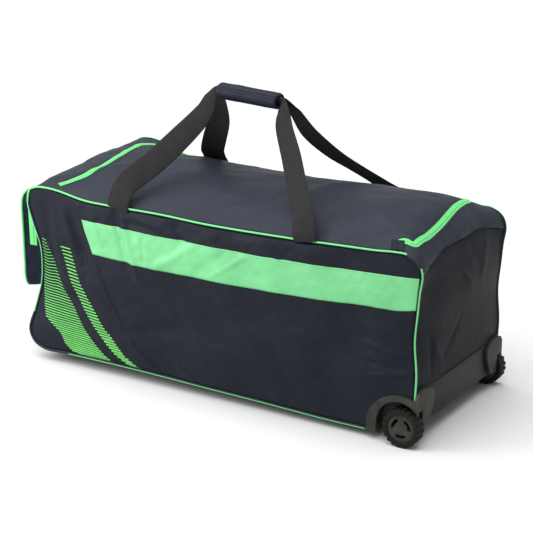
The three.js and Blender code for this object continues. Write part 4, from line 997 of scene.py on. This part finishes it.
class KITBAG_OT_ends(bpy.types.Operator):
    """Builds the two end panels and the base"""
    bl_idname = "kitbag.ends"
    bl_label = "End panels and base"

    def execute(self, context):
        shell, trim = Shell(context.scene), context.scene.kit_trim
        wall = shell.sizes.wall
        seam = 1 - shell.edge / shell.half_width
        end_seam = shell.past(shell.right, trim.border_height)
        foot = shell.where(2, shell.sizes.foot_height, shell.right, shell.bottom)
        base_start = shell.where(0, shell.sizes.base_end, shell.bottom, shell.left)
        patches = [
            # The wheel end takes the darkest copy of the navy nylon (painted shade); the left end takes
            # the lit copy.
            ("end_panel_right", end_seam, foot, 110, 120, "right_end_panel", "shade"),
            ("end_panel_left", shell.left, shell.lap, 120, 110, "left_end_panel", "navy"),
            ("base", base_start, shell.left, 110, 50, "base_panel", "dark"),
        ]
        for name, first, last, rows, columns, node, finish in patches:
            stations = shell.even(first, last, rows)[:, None]
            across = np.linspace(-seam, seam, columns + 1)[None, :]
            is_base = name == "base"
            points = shell.point(stations, across) if is_base else shell.end(stations, across)
            slot = "dark_fabric" if is_base else "navy_fabric"
            dress(sheet(name, points, stuff(finish), wall), slot, node)
        # Welt along the foot of the wheel end, over the top of the kick board.
        across = np.linspace(-seam * 0.96, seam * 0.96, 90)
        foot = np.full_like(across, foot)
        line, outward = shell.end(foot, across), shell.outward(foot, across)
        upward = unit(np.cross(outward, np.gradient(line, axis=0)))
        rings = rings_about(line, outward, upward, 10, trim.foot_welt)
        dress(tube("foot_welt", line, rings, stuff("pocket")), "navy_fabric")
        return {"FINISHED"}


class KITBAG_OT_sides(bpy.types.Operator):
    """Builds the two long panels, open inside the wheel arches"""
    bl_idname = "kitbag.sides"
    bl_label = "Front and back panels"

    def execute(self, context):
        scene = context.scene
        shell, gear = Shell(scene), scene.kit_gear
        centre_x = WHEEL_FROM_MIDDLE - gear.arch_shift
        centre_z = gear.arch_height - gear.arch_radius
        for side, name, node, rows, columns in (
                (-1, "panel_front", "front_panel", 330, 130), (1, "panel_back", "back_panel", 180, 72)):
            along = np.linspace(0, 1, rows + 1)[:, None]
            up = np.linspace(0, 1, columns + 1)[None, :]
            points = shell.panel(side, along, up)
            x, z = points[..., 0].ravel(), points[..., 2].ravel()
            hole = gear.arch_radius - 0.006
            inside = (x - centre_x) ** 2 + (z - centre_z) ** 2 < hole**2
            inside |= (np.abs(x - centre_x) < hole) & (z < centre_z)
            # The long panels take the darker copy of the navy nylon: painted shade.
            piece = sheet(name, points, stuff("side"), shell.sizes.wall, ~inside)
            dress(piece, "navy_fabric", node)
        return {"FINISHED"}


class KITBAG_OT_band(bpy.types.Operator):
    """Builds the lime band and the printed lines of the front panel"""
    bl_idname = "kitbag.band"
    bl_label = "Band and printed lines"

    def execute(self, context):
        shell = Shell(context.scene)
        share = np.linspace(0, 1, 281)
        height = np.linspace(0, 1, 25)[None, :]
        low, high = (drawn_line(rows, share)[:, None] for rows in (BAND_BOTTOM, BAND_TOP))
        place = low + (high - low) * height[..., None]
        round_off = 0.0008 * (1 - np.abs(2 * height - 1) ** 14) - 0.0001
        points = shell.spot(-1, place[..., 0], place[..., 2], round_off + 0 * share[:, None])
        dress(sheet("band", points, stuff("lime"), 0.0006), "lime_fabric", "front_band")
        self.print_lines(shell, "print_wide", PRINT_WIDE, 0.0063, 0.18, 0.66, 0.0009)
        self.print_lines(shell, "print_narrow", PRINT_NARROW, 0.0071, 0.30, 0.70, 0.0002)
        return {"FINISHED"}

    def print_lines(self, shell, name, ends, spacing, thin, thick, swing):
        """Ink lines one below the other. Each sinks a little to the right in a wave of the given
        swing. Its thickness grows from a thin share of the spacing to a thick one, and the spacing
        shrinks to three quarters at the bottom."""
        left_z, left_x = np.array(ends["left"]).T / 100
        right_z, right_x = np.array(ends["right"]).T / 100
        top, bottom = left_z[0], left_z[-1]
        down = np.linspace(0, 1, int((top - bottom) / spacing / 0.86))
        down = down * 1.15 - 0.15 * down**2
        z = top + (bottom - top) * down
        left, right = np.interp(-z, -left_z, left_x), np.interp(-z, -right_z, right_x)
        fill = (thin + (thick - thin) * down**1.6) * spacing * (1.15 - 0.30 * down)
        along = np.linspace(0, 1, 15)
        x = left[:, None] + (right - left)[:, None] * along
        wave = swing * np.sin(2 * np.pi * along + 9 * down[:, None]) * (1 - down[:, None])
        middle = z[:, None] - 0.06 * (x - left[:, None]) + wave
        edges = middle[:, :, None] + fill[:, None, None] * np.array([-0.5, 0.5])
        x = np.repeat(x[:, :, None], 2, axis=2)
        flat = shell.spot(-1, x, np.maximum(edges, bottom - 0.002), 0.0002)
        lines, steps = flat.shape[:2]
        start = (np.arange(lines)[:, None] * steps + np.arange(steps - 1)[None, :]) * 2
        faces = np.stack([start, start + 2, start + 3, start + 1], -1).reshape(-1, 4)
        flat = flat.reshape(-1, 3)
        dress(place_mesh(name, flat, faces, stuff("ink"), flat[:, [0, 2]]), "lime_fabric")


class KITBAG_OT_piping(bpy.types.Operator):
    """Builds the piping and the corner binding along both seams"""
    bl_idname = "kitbag.piping"
    bl_label = "Piping"

    def execute(self, context):
        scene = context.scene
        shell, trim = Shell(scene), scene.kit_trim
        gear = scene.kit_gear
        foot_x = WHEEL_FROM_MIDDLE - gear.arch_shift - gear.arch_radius
        binding_top = trim.binding_height * shell.sizes.side_height
        turn_up = shell.where(2, binding_top, shell.left + 1, shell.lap - 3)
        turn_in = shell.where(0, -trim.binding_reach * shell.half, shell.bottom, shell.left)
        foot = shell.past(shell.where(0, foot_x, shell.bottom, shell.left), 0.003)
        arch = shell.where(2, trim.piping_foot, shell.right, shell.bottom)
        for side, face in ((-1, "front"), (1, "back")):
            runs = [
                ("piping_upper", turn_up - shell.lap, arch, "piping", "lime_fabric"),
                ("piping_lower", foot, turn_in, "piping", "lime_fabric"),
                ("corner_binding", turn_in, turn_up, "dark", "dark_fabric"),
            ]
            places, shows = np.array(PIPING_SHOWS[face]).T
            for run, first, last, finish, slot in runs:
                stations = shell.even(first, last, max(int((last - first) * 24), 30))
                centres = shell.point(stations, side)
                outward = shell.outward(stations, side)
                sideways = np.broadcast_to(np.array([0.0, side, 0.0]), centres.shape)
                welt = rings_about(centres, outward, sideways, 10, trim.piping_radius - 0.0001)
                dress(tube(f"{face}_{run}_welt", centres, welt, stuff("navy")), "navy_fabric")
                radius = trim.piping_radius * np.interp(stations % shell.lap, places, shows)[:, None]
                lean = (trim.piping_radius + 0.0004 - radius) * unit(outward * 0.8 + sideways)
                rings = rings_about(centres + lean, outward, sideways, 12, radius[:, None])
                piece = tube(f"{face}_{run}", centres + lean, rings, stuff(finish))
                dress(piece, slot, f"{face}_{run}")
        self.corner_roll(shell, trim)
        return {"FINISHED"}

    def corner_roll(self, shell, trim):
        """Fabric rolled over the front piping at the corner above the wheels: a bead that
        swells by a quarter of a sine wave from its end radius, and shrinks back to it."""
        first = shell.where(0, trim.roll_start, 0, shell.right)
        last = shell.where(2, trim.roll_foot, shell.right, shell.bottom)
        stations = shell.even(first, last, 60)
        share = np.linspace(0, 1, 61)
        swell = np.minimum(1, np.minimum(share / 0.3, (1 - share) / 0.25))
        radius = trim.roll_end + (trim.roll_radius - trim.roll_end) * np.sin(swell * np.pi / 2)
        centres = shell.point(stations, -1)
        outward = shell.outward(stations, -1)
        sideways = np.broadcast_to(np.array([0.0, -1.0, 0.0]), centres.shape)
        piece = tube("corner_roll", centres, rings_about(
            centres, outward, sideways, 16, radius[:, None, None]), stuff("navy"))
        dress(piece, "navy_fabric")


class KITBAG_OT_zip(bpy.types.Operator):
    """Builds the lid's zip: tape, coil and the fabric tab over its front end"""
    bl_idname = "kitbag.zip"
    bl_label = "Lid zip"

    def execute(self, context):
        scene = context.scene
        shell, trim = Shell(scene), scene.kit_trim
        path = self.middle_path(shell, trim)
        tape = self.ribbon(shell, path, trim.zip_width, 12, 0.0006, 0.0007)
        piece = sheet("zip_tape", tape, stuff("tape"), 0.0005)
        dress(piece, "lime_fabric", "lid_zip")
        coil = self.ribbon(shell, path, trim.coil_width, 6, 0.0008, 0.0016, teeth=0.0022)
        dress(sheet("zip_coil", coil, stuff("tape"), 0.0004), "lime_fabric")
        self.tab(shell, trim)
        return {"FINISHED"}

    def middle_path(self, shell, trim):
        """Stations and shares across of the zip's middle line: back along the left run, along
        the back, forward on the right and round a hook under the tab at the front corner."""
        seam = 1 - shell.edge / shell.half_width
        back = seam - (trim.back_border + trim.zip_width / 2) / shell.half_width
        turn = trim.zip_turn / shell.half_width
        across_left = np.linspace(-0.90, back - turn, 120)
        across_right = np.linspace(back - turn, -0.78, 120)
        left, _ = zip_middles(shell, trim, across_left)
        _, right = zip_middles(shell, trim, across_right)
        # Stations for each metre along the seam.
        pace = (shell.past(shell.right, 0.001) - shell.right) / 0.001
        corner_left, corner_right = left[-1] + trim.zip_turn * pace, right[0] - trim.zip_turn * pace
        hook_inset, hook_across = np.array(ZIP_HOOK).T
        hook = np.stack([shell.right - hook_inset * pace, hook_across], 1)
        keys = np.vstack([
            np.stack([left, across_left], 1)[::8],
            [(corner_left, back)],
            np.stack([shell.even(corner_left, corner_right, 20)[1:-1], np.full(19, back)], 1),
            [(corner_right, back)],
            np.stack([right, across_right], 1)[::8],
            hook])
        scale = np.array([0.04, shell.half_width])
        flat = np.column_stack([keys * scale, np.zeros(len(keys))]) * 1000
        curve = open_curve(flat, np.linspace(0, 1, 1000))[:, :2] / 1000 / scale
        return curve[:, 0], curve[:, 1]

    def ribbon(self, shell, path, width, columns, low, high, teeth=0.0):
        """Grid across the path: it rises from low at its edges to high in its middle, and with
        teeth, by a wave of that length along it."""
        stations, across = path
        line, outward = shell.raised(stations, across, 0.0)
        tangent = unit(np.gradient(line, axis=0))
        side = unit(np.cross(tangent, outward))
        outward = unit(np.cross(side, tangent))
        share = np.linspace(-1, 1, columns + 1)
        if teeth:
            run = run_along(line)
            fine = np.arange(0, run[-1], teeth / 4)
            line, side, outward = (np.stack([np.interp(fine, run, part[:, k]) for k in range(3)], 1)
                                   for part in (line, side, outward))
            ridge = 0.00035 * np.sin(2 * np.pi * fine / teeth)[:, None]
        else:
            ridge = np.zeros((len(line), 1))
        rise = low + (high - low) * (1 - np.abs(share)[None, :] ** 4) + ridge * (1 - share[None, :] ** 2)
        return line[:, None] + side[:, None] * (share * width / 2)[None, :, None] \
            + outward[:, None] * rise[..., None]

    def tab(self, shell, trim):
        """Folded tab over the zip's front end: a crowned patch that hugs the lid's corner."""
        middle = shell.past(shell.right, -trim.tab_reach)
        span = shell.past(middle, trim.tab_length) - middle
        share = np.linspace(-1, 1, 31)[:, None]
        depth = np.linspace(-1, 1, 25)[None, :]
        front = -(1 - shell.edge / shell.half_width)
        across = front + (depth + 1) / 2 * trim.tab_depth / shell.half_width
        pleat = 0.0011 * np.exp(-((share + 0.15) / 0.12) ** 2)
        lift = 0.0022 + 0.0012 * (1 - np.abs(share) ** 4) * (1 - np.abs(depth) ** 6) + pleat
        points, _ = shell.raised(middle + span * share + 0 * depth, across + 0 * share, lift)
        dress(sheet("zip_end_tab", points, stuff("dark"), 0.0016), "dark_fabric", "zip_tab")


class KITBAG_OT_stitching(bpy.types.Operator):
    """Sews the seams: rows of stitches beside the zip, the band and the end's top seam"""
    bl_idname = "kitbag.stitching"
    bl_label = "Stitching"

    def execute(self, context):
        scene = context.scene
        shell, trim = Shell(scene), scene.kit_trim
        self.trim = trim
        seam = 1 - shell.edge / shell.half_width
        across = np.linspace(-seam, seam, 200)
        end_seam = shell.past(shell.right, trim.border_height)
        for number, run in enumerate((-0.0022, 0.0022, 0.0046)):
            station = shell.past(end_seam, run)
            line = shell.end(station + 0 * across, across)
            self.row(f"end_stitches_{number}", line, shell.outward(station + 0 * across, across))
        edge = trim.zip_width / 2 + 0.0026
        for side, number in ((-1, 0), (1, 1)):
            inner = across[(across > -0.86) & (across < seam - 0.2)]
            middles = zip_middles(shell, trim, inner)
            for name, middle in zip(("left", "right"), middles):
                pace = shell.past(middle[0], 0.001) - middle[0]
                line, outward = shell.raised(middle + side * edge * 1000 * pace, inner, 0.0001)
                self.row(f"zip_{name}_stitches_{number}", line, outward)
        share = np.linspace(0, 1, 300)
        for name, rows, inset in (("low", BAND_BOTTOM, trim.band_inset),
                                  ("high", BAND_TOP, -trim.band_inset)):
            line = drawn_line(rows, share)
            line = shell.spot(-1, line[:, 0], line[:, 2] + inset, 0.0009)
            self.row(f"band_{name}_stitches", line, np.array([0, -1, 0]) + 0 * line, "lime")
        line = drawn_line(SLANT_SEAM, share)
        line = shell.spot(-1, line[:, 0], line[:, 2], 0.0)
        out = np.array([0.0, -1.0, 0.0]) + 0 * line
        side = unit(np.cross(unit(np.gradient(line, axis=0)), out))
        rings = rings_about(line, side, out, 8, 0.0008, 0.0004)
        dress(tube("slant_seam", line, rings, stuff("pocket")), "dark_fabric")
        self.row("slant_stitches", line + np.array([0.0035, 0, 0.0015]), out)
        return {"FINISHED"}

    def row(self, name, line, outward, finish="thread"):
        piece = stitches(name, line, outward, finish, self.trim.stitch_pitch, self.trim.stitch_radius)
        dress(piece, "lime_fabric" if finish == "lime" else "dark_fabric")


class KITBAG_OT_pocket(bpy.types.Operator):
    """Builds the end pocket: face, gusset, piping and zip"""
    bl_idname = "kitbag.pocket"
    bl_label = "End pocket"

    def execute(self, context):
        scene = context.scene
        self.shell, self.pocket = Shell(scene), scene.kit_pocket
        radius = scene.kit_trim.piping_radius
        turns = np.linspace(0, 1, 241)[:-1]
        share = np.linspace(0, 1, 37)
        rim = self.rim(turns, radius + 0.0003)
        centre = np.array([0, 0, self.pocket.bottom + self.pocket.height / 2])
        face = centre + (rim[:, None] - centre) * np.maximum(share, 0.001)[None, :, None]
        bulge = self.pocket.bulge * (1 - share[None, :] ** 2.5)
        soft = ripples(face[..., 1], face[..., 2], 8, 0.07, 0.0012) * (1 - share[None, :] ** 6)
        face[..., 0] = self.face_x(face[..., 2]) - bulge - soft
        # Face and gusset take the pocket's darkened nylon: painted shade.
        self.closed("pocket_face", face, "pocket_panel", "pocket", "navy_fabric", shell_wall=0.002)
        back = np.linspace(0, 1, 25)
        side = np.repeat(self.rim(turns, 0.0)[:, None], 25, axis=1)
        start = self.face_x(side[..., 2]) + radius
        end = self.left_x(side[:, 0, 1], side[:, 0, 2])[:, None] + 0.002
        side[..., 0] = start + (end - start) * back[None, :]
        normal = unit(self.rim(turns, 0.0) - self.rim(turns, 0.001))
        soft = ripples(side[..., 0], side[..., 1] + side[..., 2], 9, 0.05, 0.0008)
        sag = 0.0016 * np.sin(np.pi * back)[None, :] + soft
        side = side - normal[:, None] * sag[..., None]
        self.closed("pocket_side", side, "pocket_gusset", "pocket", "navy_fabric", shell_wall=0.002)
        line = self.rim(turns, 0.0)
        line[:, 0] = self.face_x(line[:, 2])
        ahead = np.broadcast_to(np.array([1.0, 0, 0]), line.shape)
        rings = rings_about(line, normal, ahead, 12, radius)
        dress(tube("pocket_bead", line, rings, stuff("piping"), closed=True), "lime_fabric",
              "pocket_piping")
        self.zip()
        return {"FINISHED"}

    def closed(self, name, points, node, finish, slot, shell_wall):
        """Sheet that closes round on itself along its rows."""
        ring = np.concatenate([points, points[:1]])
        piece = sheet(name, ring, stuff(finish), shell_wall, heart=POCKET_HEART)
        merged = bmesh.new()
        merged.from_mesh(piece.data)
        bmesh.ops.remove_doubles(merged, verts=merged.verts, dist=1e-5)
        merged.to_mesh(piece.data)
        merged.free()
        face_out(piece, POCKET_HEART)
        dress(piece, slot, node)

    def face_x(self, z):
        low = (self.pocket.bottom + self.pocket.height - z) / self.pocket.height
        return -self.shell.half - self.pocket.depth + self.pocket.lean * (1 - low)

    def rim(self, turns, inset):
        """Outline of the face, moved in by inset, at equal lengths along a smooth closed curve."""
        rows = POCKET_ROWS + [(-y, z) for y, z in POCKET_ROWS[-2:0:-1]]
        y, z = np.array(rows).T
        knots = np.stack([np.zeros_like(y), y * self.pocket.width / 2,
                          self.pocket.bottom + z * self.pocket.height], 1) * 1000
        fine = np.linspace(0, 1, 2001)
        curve = catmull_rom(knots, fine) / 1000
        run = run_along(curve)
        place = np.interp(np.asarray(turns) % 1.0 * run[-1], run, fine)
        step = 1e-3
        tangent = catmull_rom(knots, place + step) - catmull_rom(knots, place - step)
        outward = unit(np.stack([np.zeros_like(place), -tangent[:, 2], tangent[:, 1]], 1))
        return catmull_rom(knots, place) / 1000 - outward * inset

    def left_x(self, y, z):
        """Where the left end stands behind each point of the gusset."""
        stations = np.linspace(self.shell.left + 1, self.shell.lap + 0.4, 300)[None, :]
        shares = np.clip(y / self.shell.half_width, -0.98, 0.98)[:, None]
        line = self.shell.point(stations, shares)
        below = line[..., 2] < z[:, None]
        index = np.clip(below.sum(axis=1), 1, stations.size - 1)
        rows = np.arange(len(z))
        low, high = line[rows, index - 1], line[rows, index]
        share = np.clip((z - low[:, 2]) / np.maximum(high[:, 2] - low[:, 2], 1e-9), 0, 1)
        return low[:, 0] + (high[:, 0] - low[:, 0]) * share

    def zip(self):
        """Zip over the top of the gusset, down to the same height at each side."""
        pocket = self.pocket
        end = pocket.bottom + pocket.zip_end * pocket.height
        turns = np.linspace(0, 0.5, 400)
        half = turns[np.argmax(self.rim(turns, 0.0)[:, 2] < end)]
        run = np.linspace(-half, half, 221)
        for name, width, lift, columns, node in (
                ("pocket_zip_tape", pocket.zip_width, 0.0010, 10, "pocket_zip"),
                ("pocket_zip_coil", 0.005, 0.0020, 8, None)):
            across = np.linspace(-1, 1, columns + 1)
            crown = lift * (1 - 0.5 * across**4)
            line = self.rim(run, 0.0)
            normal = unit(line - self.rim(run, 0.001))
            points = line[:, None] + normal[:, None] * crown[None, :, None]
            middle = self.face_x(line[:, 2]) + 0.003 + pocket.zip_inset + pocket.zip_width / 2
            points[..., 0] = middle[:, None] + across[None, :] * width / 2
            piece = sheet(name, points, stuff("tape"), 0.0006, heart=POCKET_HEART)
            dress(piece, "lime_fabric", *([node] if node else []))


class KITBAG_OT_handles(bpy.types.Operator):
    """Builds the two webbing straps and the padded grip round them"""
    bl_idname = "kitbag.handles"
    bl_label = "Handles"

    def execute(self, context):
        scene = context.scene
        self.shell, self.handles = Shell(scene), scene.kit_handles
        for side, name in ((-1, "front"), (1, "back")):
            self.strap(side, name)
        self.grip()
        return {"FINISHED"}

    def grip_centre(self):
        h = self.handles
        return np.array([h.grip_shift, -h.grip_lean, h.height])

    def strap(self, side, name):
        """Webbing along a smooth line: a flat oval carried with its face to the front or back,
        turned by the lean, and narrowed where it is gathered in the grip."""
        h, shell = self.handles, self.shell
        grip = self.grip_centre()
        seam = shell.point(shell.where(0, h.spacing / 2, 0, shell.right), -1)

        def leg(rows, end):
            out, ahead, up, wide, lean, turn = np.array(rows).T
            x = grip[0] + end * h.grip_length / 2
            x = x + (end * h.spacing / 2 - x) * out
            y = grip[1] + side * h.straps_apart / 2
            y = y + (side * shell.half_width - y) * ahead
            z = seam[2] + (grip[2] - end * h.grip_tilt / 2 - seam[2]) * up
            return np.stack([x, y, z, wide, lean, turn], 1)

        inside = np.array([-0.54, -0.3, 0, 0.3, 0.54])
        held = np.stack([
            grip[0] + inside * h.grip_length, np.full(5, grip[1] + side * h.straps_apart / 2),
            grip[2] - inside * h.grip_tilt, np.where(np.abs(inside) > 0.5, 0.32, 0.42), np.zeros(5),
            np.zeros(5)], 1)
        rows = np.vstack([leg(LEGS[name + "_left"], -1), held, leg(LEGS[name + "_right"], 1)[::-1]])
        shares = np.linspace(0, 1, 361)
        centres = open_curve(rows[:, :3] * 1000, shares) / 1000
        wide, lean, turn = open_curve(np.column_stack([np.arange(len(rows)), rows[:, 3:]]),
                                      shares)[:, 1:].T
        tangent = unit(np.gradient(centres, axis=0))
        facing = np.stack([turn, np.full_like(lean, side), lean], 1)
        facing = unit(facing - (facing * tangent).sum(1, keepdims=True) * tangent)
        sideways = unit(np.cross(tangent, facing))
        half = h.width / 2 * np.minimum(wide, 1)
        # Flat oval: 20 points, crowded at the two edges of the webbing.
        angles = round_angles(20)
        across = np.sign(np.cos(angles)) * np.abs(np.cos(angles)) ** 0.5
        through = np.sign(np.sin(angles)) * np.abs(np.sin(angles)) ** 0.35
        cup = 0.0022 * (across**2 - 0.4)
        rings = (centres[:, None] + sideways[:, None] * (half[:, None] * across)[..., None]
                 + facing[:, None] * (through * h.thickness / 2 - cup)[None, :, None])
        piece = tube(f"{name}_webbing", centres, rings, stuff("webbing"))
        dress(piece, "webbing", f"{name}_strap")

    def grip(self):
        """Padded wrap: an oval sleeve, fuller in its middle, with a flap that overlaps along its
        front and ends turned in over the straps."""
        h = self.handles
        grip = self.grip_centre()
        along = np.linspace(-0.5, 0.5, 81)
        angles = round_angles(96)
        end = np.clip((0.5 - np.abs(along)) / 0.05, 0, 1)
        full = 0.90 + 0.10 * np.sqrt(1 - (1 - end) ** 2)
        full = full - 0.018 * np.cos(along * 14)
        flap = np.where((angles > 2.5) & (angles < 5.0), 0.0014, 0.0)
        groove = 0.0024 * np.exp(-((angles - 2.47) / 0.06) ** 2)
        length, girth = np.meshgrid(along * h.grip_length, angles * h.grip_round, indexing="ij")
        soft = ripples(length, girth, 12, 0.05, 0.00022)
        radius_y = h.grip_depth / 2 * full[:, None] + flap - groove + soft
        radius_z = h.grip_height / 2 * full[:, None] + flap - groove + soft
        x = grip[0] + along * h.grip_length
        middle_z = grip[2] - along[:, None] * h.grip_tilt
        outer, inner = (np.stack([
            np.broadcast_to(x[:, None], radius_y.shape),
            grip[1] + radius_y * np.cos(angles) * share,
            middle_z + radius_z * np.sin(angles) * share], -1) for share in (1.0, 0.8))
        rings = np.concatenate([outer, inner[::-1]])
        faces = grid_faces(len(rings), len(angles), True, True)
        piece = place_mesh("padded_grip", rings.reshape(-1, 3), faces, stuff("grip"),
                           cloth_uv(rings))
        outside(piece)
        dress(piece, "dark_fabric", "grip_wrap")


class KITBAG_OT_gear(bpy.types.Operator):
    """Rounds the edges of the moulded running gear and gives it its materials"""
    bl_idname = "kitbag.gear"
    bl_label = "Running gear"

    def execute(self, context):
        gear = context.scene.kit_gear
        pieces = [("kick_plate", "board", "kick_board", "bag", gear.bevel)]
        for side in ("front", "back"):
            pieces += [
                (f"wheel_housing_{side}", "moulded", "moulded_plastic", "bag", gear.bevel),
                (f"axle_{side}", "moulded", "moulded_plastic", "bag", 0.0006),
                (f"wheel_{side}_tyre", "tyre", "tyre_rubber", f"wheel_{side}", gear.bevel),
                (f"wheel_{side}_hub", "moulded", "moulded_plastic", f"wheel_{side}", 0.0008),
            ]
        for node, finish, slot, body, rounding in pieces:
            self.rounded(node, finish, slot, body, rounding)
        return {"FINISHED"}

    def rounded(self, node, finish, slot, body, rounding):
        """Copy of a solid with its flat faces whole again and its sharp edges rounded."""
        mesh = frame["nodes"][node].data.copy()
        work = bmesh.new()
        work.from_mesh(mesh)
        bmesh.ops.remove_doubles(work, verts=work.verts, dist=1e-5)
        bmesh.ops.dissolve_limit(work, angle_limit=math.radians(1.0), verts=work.verts, edges=work.edges)
        work.to_mesh(mesh)
        work.free()
        mesh.materials.clear()
        mesh.materials.append(stuff(finish))
        mesh.polygons.foreach_set("use_smooth", np.ones(len(mesh.polygons), bool))
        mesh.polygons.foreach_set("material_index", np.zeros(len(mesh.polygons), int))
        piece = bpy.data.objects.new(f"{node}_moulding", mesh)
        bpy.context.scene.collection.objects.link(piece)
        bevel = piece.modifiers.new("Rounding", "BEVEL")
        bevel.width = rounding
        bevel.segments = 3
        bevel.limit_method = "ANGLE"
        bevel.angle_limit = math.radians(35)
        bevel.harden_normals = True
        dress(piece, slot, node, body=body)


class KITBAG_OT_studio(bpy.types.Operator):
    """Adds the floor, the soft lights and the camera"""
    bl_idname = "kitbag.studio"
    bl_label = "Studio"

    def execute(self, context):
        scene = context.scene
        studio = scene.kit_studio
        aim = np.array([studio.aim_x + BAG_X, 0, studio.aim_z])
        a, e = studio.azimuth, studio.elevation
        back = np.array([math.sin(a) * math.cos(e), -math.cos(a) * math.cos(e), math.sin(e)])
        camera_data = bpy.data.cameras.new("Camera")
        camera_data.lens = studio.lens
        camera_data.sensor_width = 36.0
        camera_data.clip_end = 100.0
        camera = bpy.data.objects.new("Camera", camera_data)
        camera.location = aim + back * studio.distance
        camera.rotation_euler = (math.pi / 2 - e, 0, a)
        scene.collection.objects.link(camera)
        scene.camera = camera
        # Plain display colours, as product photographs are printed.
        scene.view_settings.view_transform = "Standard"
        self.floor(scene.kit_colours)
        self.light("Overhead", "SUN", (-0.5, -0.7, 4.0), (0, 0, 0), math.radians(70), 4.0)
        self.light("Left", "AREA", (-1.15, -1.2, 0.8), (-0.3, 0, 0.22), 0.8, 19)
        world = bpy.data.worlds.new("Studio")
        world.use_nodes = True
        world.node_tree.nodes["Background"].inputs["Color"].default_value = (1, 1, 1, 1)
        world.node_tree.nodes["Background"].inputs["Strength"].default_value = 0.52
        scene.world = world
        return {"FINISHED"}

    def floor(self, tones):
        """Pale plain floor that runs to the edge of every view."""
        far = 14.0
        corners = [(-far, -far, 0), (far, -far, 0), (far, far, 0), (-far, far, 0)]
        mesh = bpy.data.meshes.new("floor")
        mesh.from_pydata(corners, [], [(0, 1, 2, 3)])
        material, _, _ = new_material("studio_floor", tuple(tones.floor), Roughness=0.9,
                                      Specular_IOR_Level=0.1)
        mesh.materials.append(material)
        floor = bpy.data.objects.new("floor", mesh)
        bpy.context.scene.collection.objects.link(floor)

    def light(self, name, kind, place, target, size, power):
        """Soft light that looks at its target: a sun is even over the whole floor and has an angle
        as its size, and an area light is a square of that side."""
        data = bpy.data.lights.new(name, kind)
        if kind == "SUN":
            data.angle = size
        else:
            data.shape = "SQUARE"
            data.size = size
        data.energy = power
        lamp = bpy.data.objects.new(name, data)
        lamp.location = place
        lamp.rotation_euler = (Vector(target) - Vector(place)).to_track_quat("-Z", "Y").to_euler()
        bpy.context.scene.collection.objects.link(lamp)


OPERATORS = [
    KITBAG_OT_studio, KITBAG_OT_top, KITBAG_OT_ends, KITBAG_OT_sides, KITBAG_OT_band,
    KITBAG_OT_piping, KITBAG_OT_zip, KITBAG_OT_stitching, KITBAG_OT_pocket, KITBAG_OT_handles,
    KITBAG_OT_gear,
]


class KITBAG_PT_panel(bpy.types.Panel):
    bl_idname = "KITBAG_PT_panel"
    bl_label = "Kit bag"
    bl_space_type = "VIEW_3D"
    bl_region_type = "UI"
    bl_category = "Kit bag"

    def draw(self, context):
        for step in OPERATORS:
            self.layout.operator(step.bl_idname)


def register():
    for group in GROUPS.values():
        bpy.utils.register_class(group)
    for name, group in GROUPS.items():
        setattr(bpy.types.Scene, name, PointerProperty(type=group))
    for step in OPERATORS:
        bpy.utils.register_class(step)
    bpy.utils.register_class(KITBAG_PT_panel)


def unregister():
    bpy.utils.unregister_class(KITBAG_PT_panel)
    for step in reversed(OPERATORS):
        bpy.utils.unregister_class(step)
    for name, group in GROUPS.items():
        delattr(bpy.types.Scene, name)
        bpy.utils.unregister_class(group)


def main():
    register()
    for step in OPERATORS:
        getattr(bpy.ops.kitbag, step.bl_idname.split(".")[1])()


if __name__ == "__main__":
    main()
